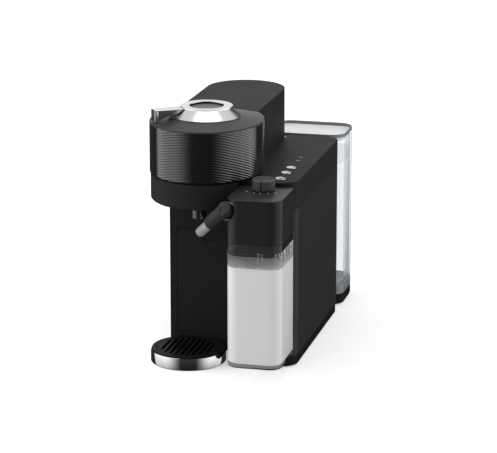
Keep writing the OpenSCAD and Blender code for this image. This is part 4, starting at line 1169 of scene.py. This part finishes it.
# Two plain soft cards in the ring that only reflections see, alike on the left and the right. Each
# begins, is full and ends at these degrees from the camera, and the rest of the ring is dark.
CARD_START, CARD_FULL, CARD_END = 20.0, 75.0, 120.0
CARD_EDGE = 4.0
CARD_WHITE, CARD_DARK = 1.0, 0.03
CARD_RADIUS, LOW_CARD_DEPTH, FRONT_CARD_HEIGHT, FRONT_CARD_HALF = 3.4, 3.0, 2.6, 160.0
CARD_SIDE = (
    (CARD_START, CARD_DARK), (CARD_FULL, CARD_WHITE), (CARD_END, CARD_WHITE),
    (CARD_END + CARD_EDGE, CARD_DARK),
)
CARD_RAMP = tuple((-degrees, value) for degrees, value in reversed(CARD_SIDE)) + CARD_SIDE


def seen_directly(tree):
    """1 for camera, glossy and transmission rays, which show the white background as it is."""
    path = tree.nodes.new("ShaderNodeLightPath")
    total = path.outputs["Is Camera Ray"]
    for name in ("Is Glossy Ray", "Is Transmission Ray"):
        both = node(tree, "ShaderNodeMath", operation="MAXIMUM")
        tree.links.new(total, both.inputs[0])
        tree.links.new(path.outputs[name], both.inputs[1])
        total = both.outputs[0]
    return total


def floor_material():
    """Pale floor that keeps the shadow, and is lifted to white where it is seen."""
    material, tree, shader = blank_material("Floor")
    shader.inputs["Base Color"].default_value = (0.80, 0.80, 0.80, 1.0)
    shader.inputs["Roughness"].default_value = 0.9
    shader.inputs["Specular IOR Level"].default_value = 0.0
    shader.inputs["Emission Color"].default_value = (1.0, 1.0, 1.0, 1.0)
    place = node(tree, "ShaderNodeTexCoord").outputs["Object"]
    away = node(tree, "ShaderNodeVectorMath", operation="LENGTH")
    tree.links.new(place, away.inputs[0])
    # The painted glow that lifts the floor to white is weaker near the machine, so the shadow round the
    # machine stays darker
    far = node(tree, "ShaderNodeMapRange", interpolation_type="SMOOTHSTEP")
    for label, value in (("From Min", 0.3), ("From Max", 1.6), ("To Min", 0.40), ("To Max", 0.66)):
        far.inputs[label].default_value = value
    tree.links.new(away.outputs["Value"], far.inputs["Value"])
    lift = node(tree, "ShaderNodeMath", operation="MULTIPLY")
    tree.links.new(far.outputs["Result"], lift.inputs[1])
    tree.links.new(seen_directly(tree), lift.inputs[0])
    tree.links.new(lift.outputs[0], shader.inputs["Emission Strength"])
    return material


def card_material():
    """Studio card: bright to the left and right of the machine, dark before and behind it."""
    material, tree, shader = blank_material("Studio Card")
    place = node(tree, "ShaderNodeTexCoord").outputs["Object"]
    centred = node(tree, "ShaderNodeVectorMath", operation="SUBTRACT")
    band_lo, band_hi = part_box("tray_band")
    centred.inputs[1].default_value = [(a + b) / 2 for a, b in zip(band_lo, band_hi)]
    tree.links.new(place, centred.inputs[0])
    parts = node(tree, "ShaderNodeSeparateXYZ")
    tree.links.new(centred.outputs[0], parts.inputs[0])
    front = node(tree, "ShaderNodeMath", operation="MULTIPLY")
    front.inputs[1].default_value = -1.0
    tree.links.new(parts.outputs["Y"], front.inputs[0])
    turn = node(tree, "ShaderNodeMath", operation="ARCTAN2")
    tree.links.new(parts.outputs["X"], turn.inputs[0])
    tree.links.new(front.outputs[0], turn.inputs[1])
    shift = node(tree, "ShaderNodeMath", operation="SUBTRACT")
    shift.inputs[1].default_value = CAMERA_TURN
    tree.links.new(turn.outputs[0], shift.inputs[0])
    around = node(tree, "ShaderNodeMath", operation="WRAP")
    around.inputs[1].default_value = math.pi
    around.inputs[2].default_value = -math.pi
    tree.links.new(shift.outputs[0], around.inputs[0])
    share = node(tree, "ShaderNodeMapRange")
    share.inputs["From Min"].default_value = -math.pi
    share.inputs["From Max"].default_value = math.pi
    tree.links.new(around.outputs[0], share.inputs["Value"])
    ramp = node(tree, "ShaderNodeValToRGB")
    tree.links.new(share.outputs["Result"], ramp.inputs[0])
    ramp.color_ramp.interpolation = "EASE"
    stops = ramp.color_ramp.elements
    while len(stops) < len(CARD_RAMP):
        stops.new(0.5)
    for stop, (degrees, value) in zip(stops, CARD_RAMP):
        stop.position = (degrees + 180.0) / 360.0
        stop.color = (value, value, value, 1.0)
    shader.inputs["Base Color"].default_value = (0.0, 0.0, 0.0, 1.0)
    shader.inputs["Specular IOR Level"].default_value = 0.0
    tree.links.new(ramp.outputs["Color"], shader.inputs["Emission Color"])
    rise = node(tree, "ShaderNodeMapRange")
    for label, value in (("From Min", -2.4), ("From Max", 0.6), ("To Min", 0.35), ("To Max", 1.65)):
        rise.inputs[label].default_value = value
    tree.links.new(parts.outputs["Z"], rise.inputs["Value"])
    tree.links.new(rise.outputs["Result"], shader.inputs["Emission Strength"])
    return material


def stage_piece(name, bm, material):
    mesh = bpy.data.meshes.new(name)
    bm.to_mesh(mesh)
    bm.free()
    mesh.materials.append(material)
    piece = bpy.data.objects.new(name, mesh)
    bpy.context.scene.collection.objects.link(piece)
    return piece


def reflected_only(piece):
    """A studio card lights nothing and is only seen in reflections."""
    for ray in ("camera", "diffuse", "transmission", "volume_scatter", "shadow"):
        setattr(piece, "visible_" + ray, False)


def area_light(name, place, target, size, watts, colour_rgb=(1.0, 1.0, 1.0)):
    lamp = bpy.data.lights.new(name, "AREA")
    lamp.shape = "RECTANGLE"
    lamp.size, lamp.size_y = size
    lamp.energy = watts
    lamp.color = colour_rgb
    holder = bpy.data.objects.new(name, lamp)
    holder.location = place
    holder.rotation_euler = (Vector(target) - Vector(place)).to_track_quat("-Z", "Y").to_euler()
    bpy.context.scene.collection.objects.link(holder)
    return holder


class COFFEE_OT_stage(bpy.types.Operator):
    """Floor, studio lights and camera"""

    bl_idname = "coffee.stage"
    bl_label = "Stage"

    def execute(self, context):
        scene = context.scene
        bm = bmesh.new()
        bmesh.ops.create_grid(bm, x_segments=1, y_segments=1, size=6.0)
        floor = stage_piece("floor", bm, floor_material())
        floor.visible_glossy = False
        card = card_material()
        bm = bmesh.new()
        low = [(0.0, -LOW_CARD_DEPTH), (CARD_RADIUS, -LOW_CARD_DEPTH), (CARD_RADIUS, 0.0)]
        spun(bm, low, closed=False)
        reflected_only(stage_piece("low_card", bm, card))
        bm = bmesh.new()
        turn = Matrix.Rotation(CAMERA_TURN - math.radians(90.0 + FRONT_CARD_HALF), 4, "Z")
        edge = [bm.verts.new(turn @ Vector((CARD_RADIUS, 0, z))) for z in (0.0, FRONT_CARD_HEIGHT)]
        bmesh.ops.spin(
            bm, geom=edge + [bm.edges.new(edge)], cent=(0, 0, 0), axis=(0, 0, 1), dvec=(0, 0, 0),
            angle=math.radians(2.0 * FRONT_CARD_HALF), steps=96, use_merge=False, use_normal_flip=False,
            use_duplicate=False,
        )
        reflected_only(stage_piece("front_card", bm, card))

        world = bpy.data.worlds.new("Studio")
        world.use_nodes = True
        scene.world = world
        tree = world.node_tree
        base = tree.nodes["Background"]
        base.inputs["Color"].default_value = (0.96, 0.98, 1.0, 1.0)
        base.inputs["Strength"].default_value = 0.45
        seen = tree.nodes.new("ShaderNodeBackground")
        seen.inputs["Color"].default_value = (1.0, 1.0, 1.0, 1.0)
        seen.inputs["Strength"].default_value = 1.0
        mix = tree.nodes.new("ShaderNodeMixShader")
        tree.links.new(seen_directly(tree), mix.inputs[0])
        tree.links.new(base.outputs[0], mix.inputs[1])
        tree.links.new(seen.outputs[0], mix.inputs[2])
        tree.links.new(mix.outputs[0], tree.nodes["World Output"].inputs["Surface"])

        area_light("left_softbox", (-1.23, -0.42, 0.80), (0, 0, 0.25), (1.8, 1.3), 19).visible_glossy = False
        area_light("right_softbox", (1.27, 0.27, 0.80), (0, 0, 0.25), (1.8, 1.3), 12).visible_glossy = False
        area_light("top_softbox", (0.05, -0.25, 1.7), (0, 0, 0.25), (1.2, 0.9), 6)

        lens = bpy.data.cameras.new("camera")
        lens.lens = CAMERA_LENS
        lens.sensor_width = SENSOR
        lens.clip_end = 50.0
        camera = bpy.data.objects.new("camera", lens)
        camera.location = Vector(CAMERA_AT) * MM
        camera.rotation_euler = (-Vector(CAMERA_BACK)).to_track_quat("-Z", "Y").to_euler()
        scene.collection.objects.link(camera)
        scene.camera = camera
        scene.view_settings.view_transform = "Standard"
        return {"FINISHED"}


# ---- Panel and registration -----------------------------------------------------------------

OPERATORS = (
    COFFEE_OT_finishes, COFFEE_OT_casings, COFFEE_OT_head, COFFEE_OT_dial, COFFEE_OT_deck, COFFEE_OT_tray,
    COFFEE_OT_jug, COFFEE_OT_lid, COFFEE_OT_tank, COFFEE_OT_stage,
)


class COFFEE_PT_sidebar(bpy.types.Panel):
    """Lists the machine's values and steps"""

    bl_label = "Coffee Machine"
    bl_space_type = "VIEW_3D"
    bl_region_type = "UI"
    bl_category = "Coffee"

    def draw(self, context):
        for group in (context.scene.coffee_finishes, context.scene.coffee_head):
            for name in group.__annotations__:
                self.layout.prop(group, name)
        for step in OPERATORS:
            self.layout.operator(step.bl_idname)


CLASSES = (CoffeeFinishes, CoffeeHead, *OPERATORS, COFFEE_PT_sidebar)


def register():
    for item in CLASSES:
        bpy.utils.register_class(item)
    bpy.types.Scene.coffee_finishes = PointerProperty(type=CoffeeFinishes)
    bpy.types.Scene.coffee_head = PointerProperty(type=CoffeeHead)


def unregister():
    del bpy.types.Scene.coffee_head
    del bpy.types.Scene.coffee_finishes
    for item in reversed(CLASSES):
        bpy.utils.unregister_class(item)


def main():
    register()
    for step in OPERATORS:
        area, action = step.bl_idname.split(".")
        getattr(getattr(bpy.ops, area), action)()


if __name__ == "__main__":
    main()
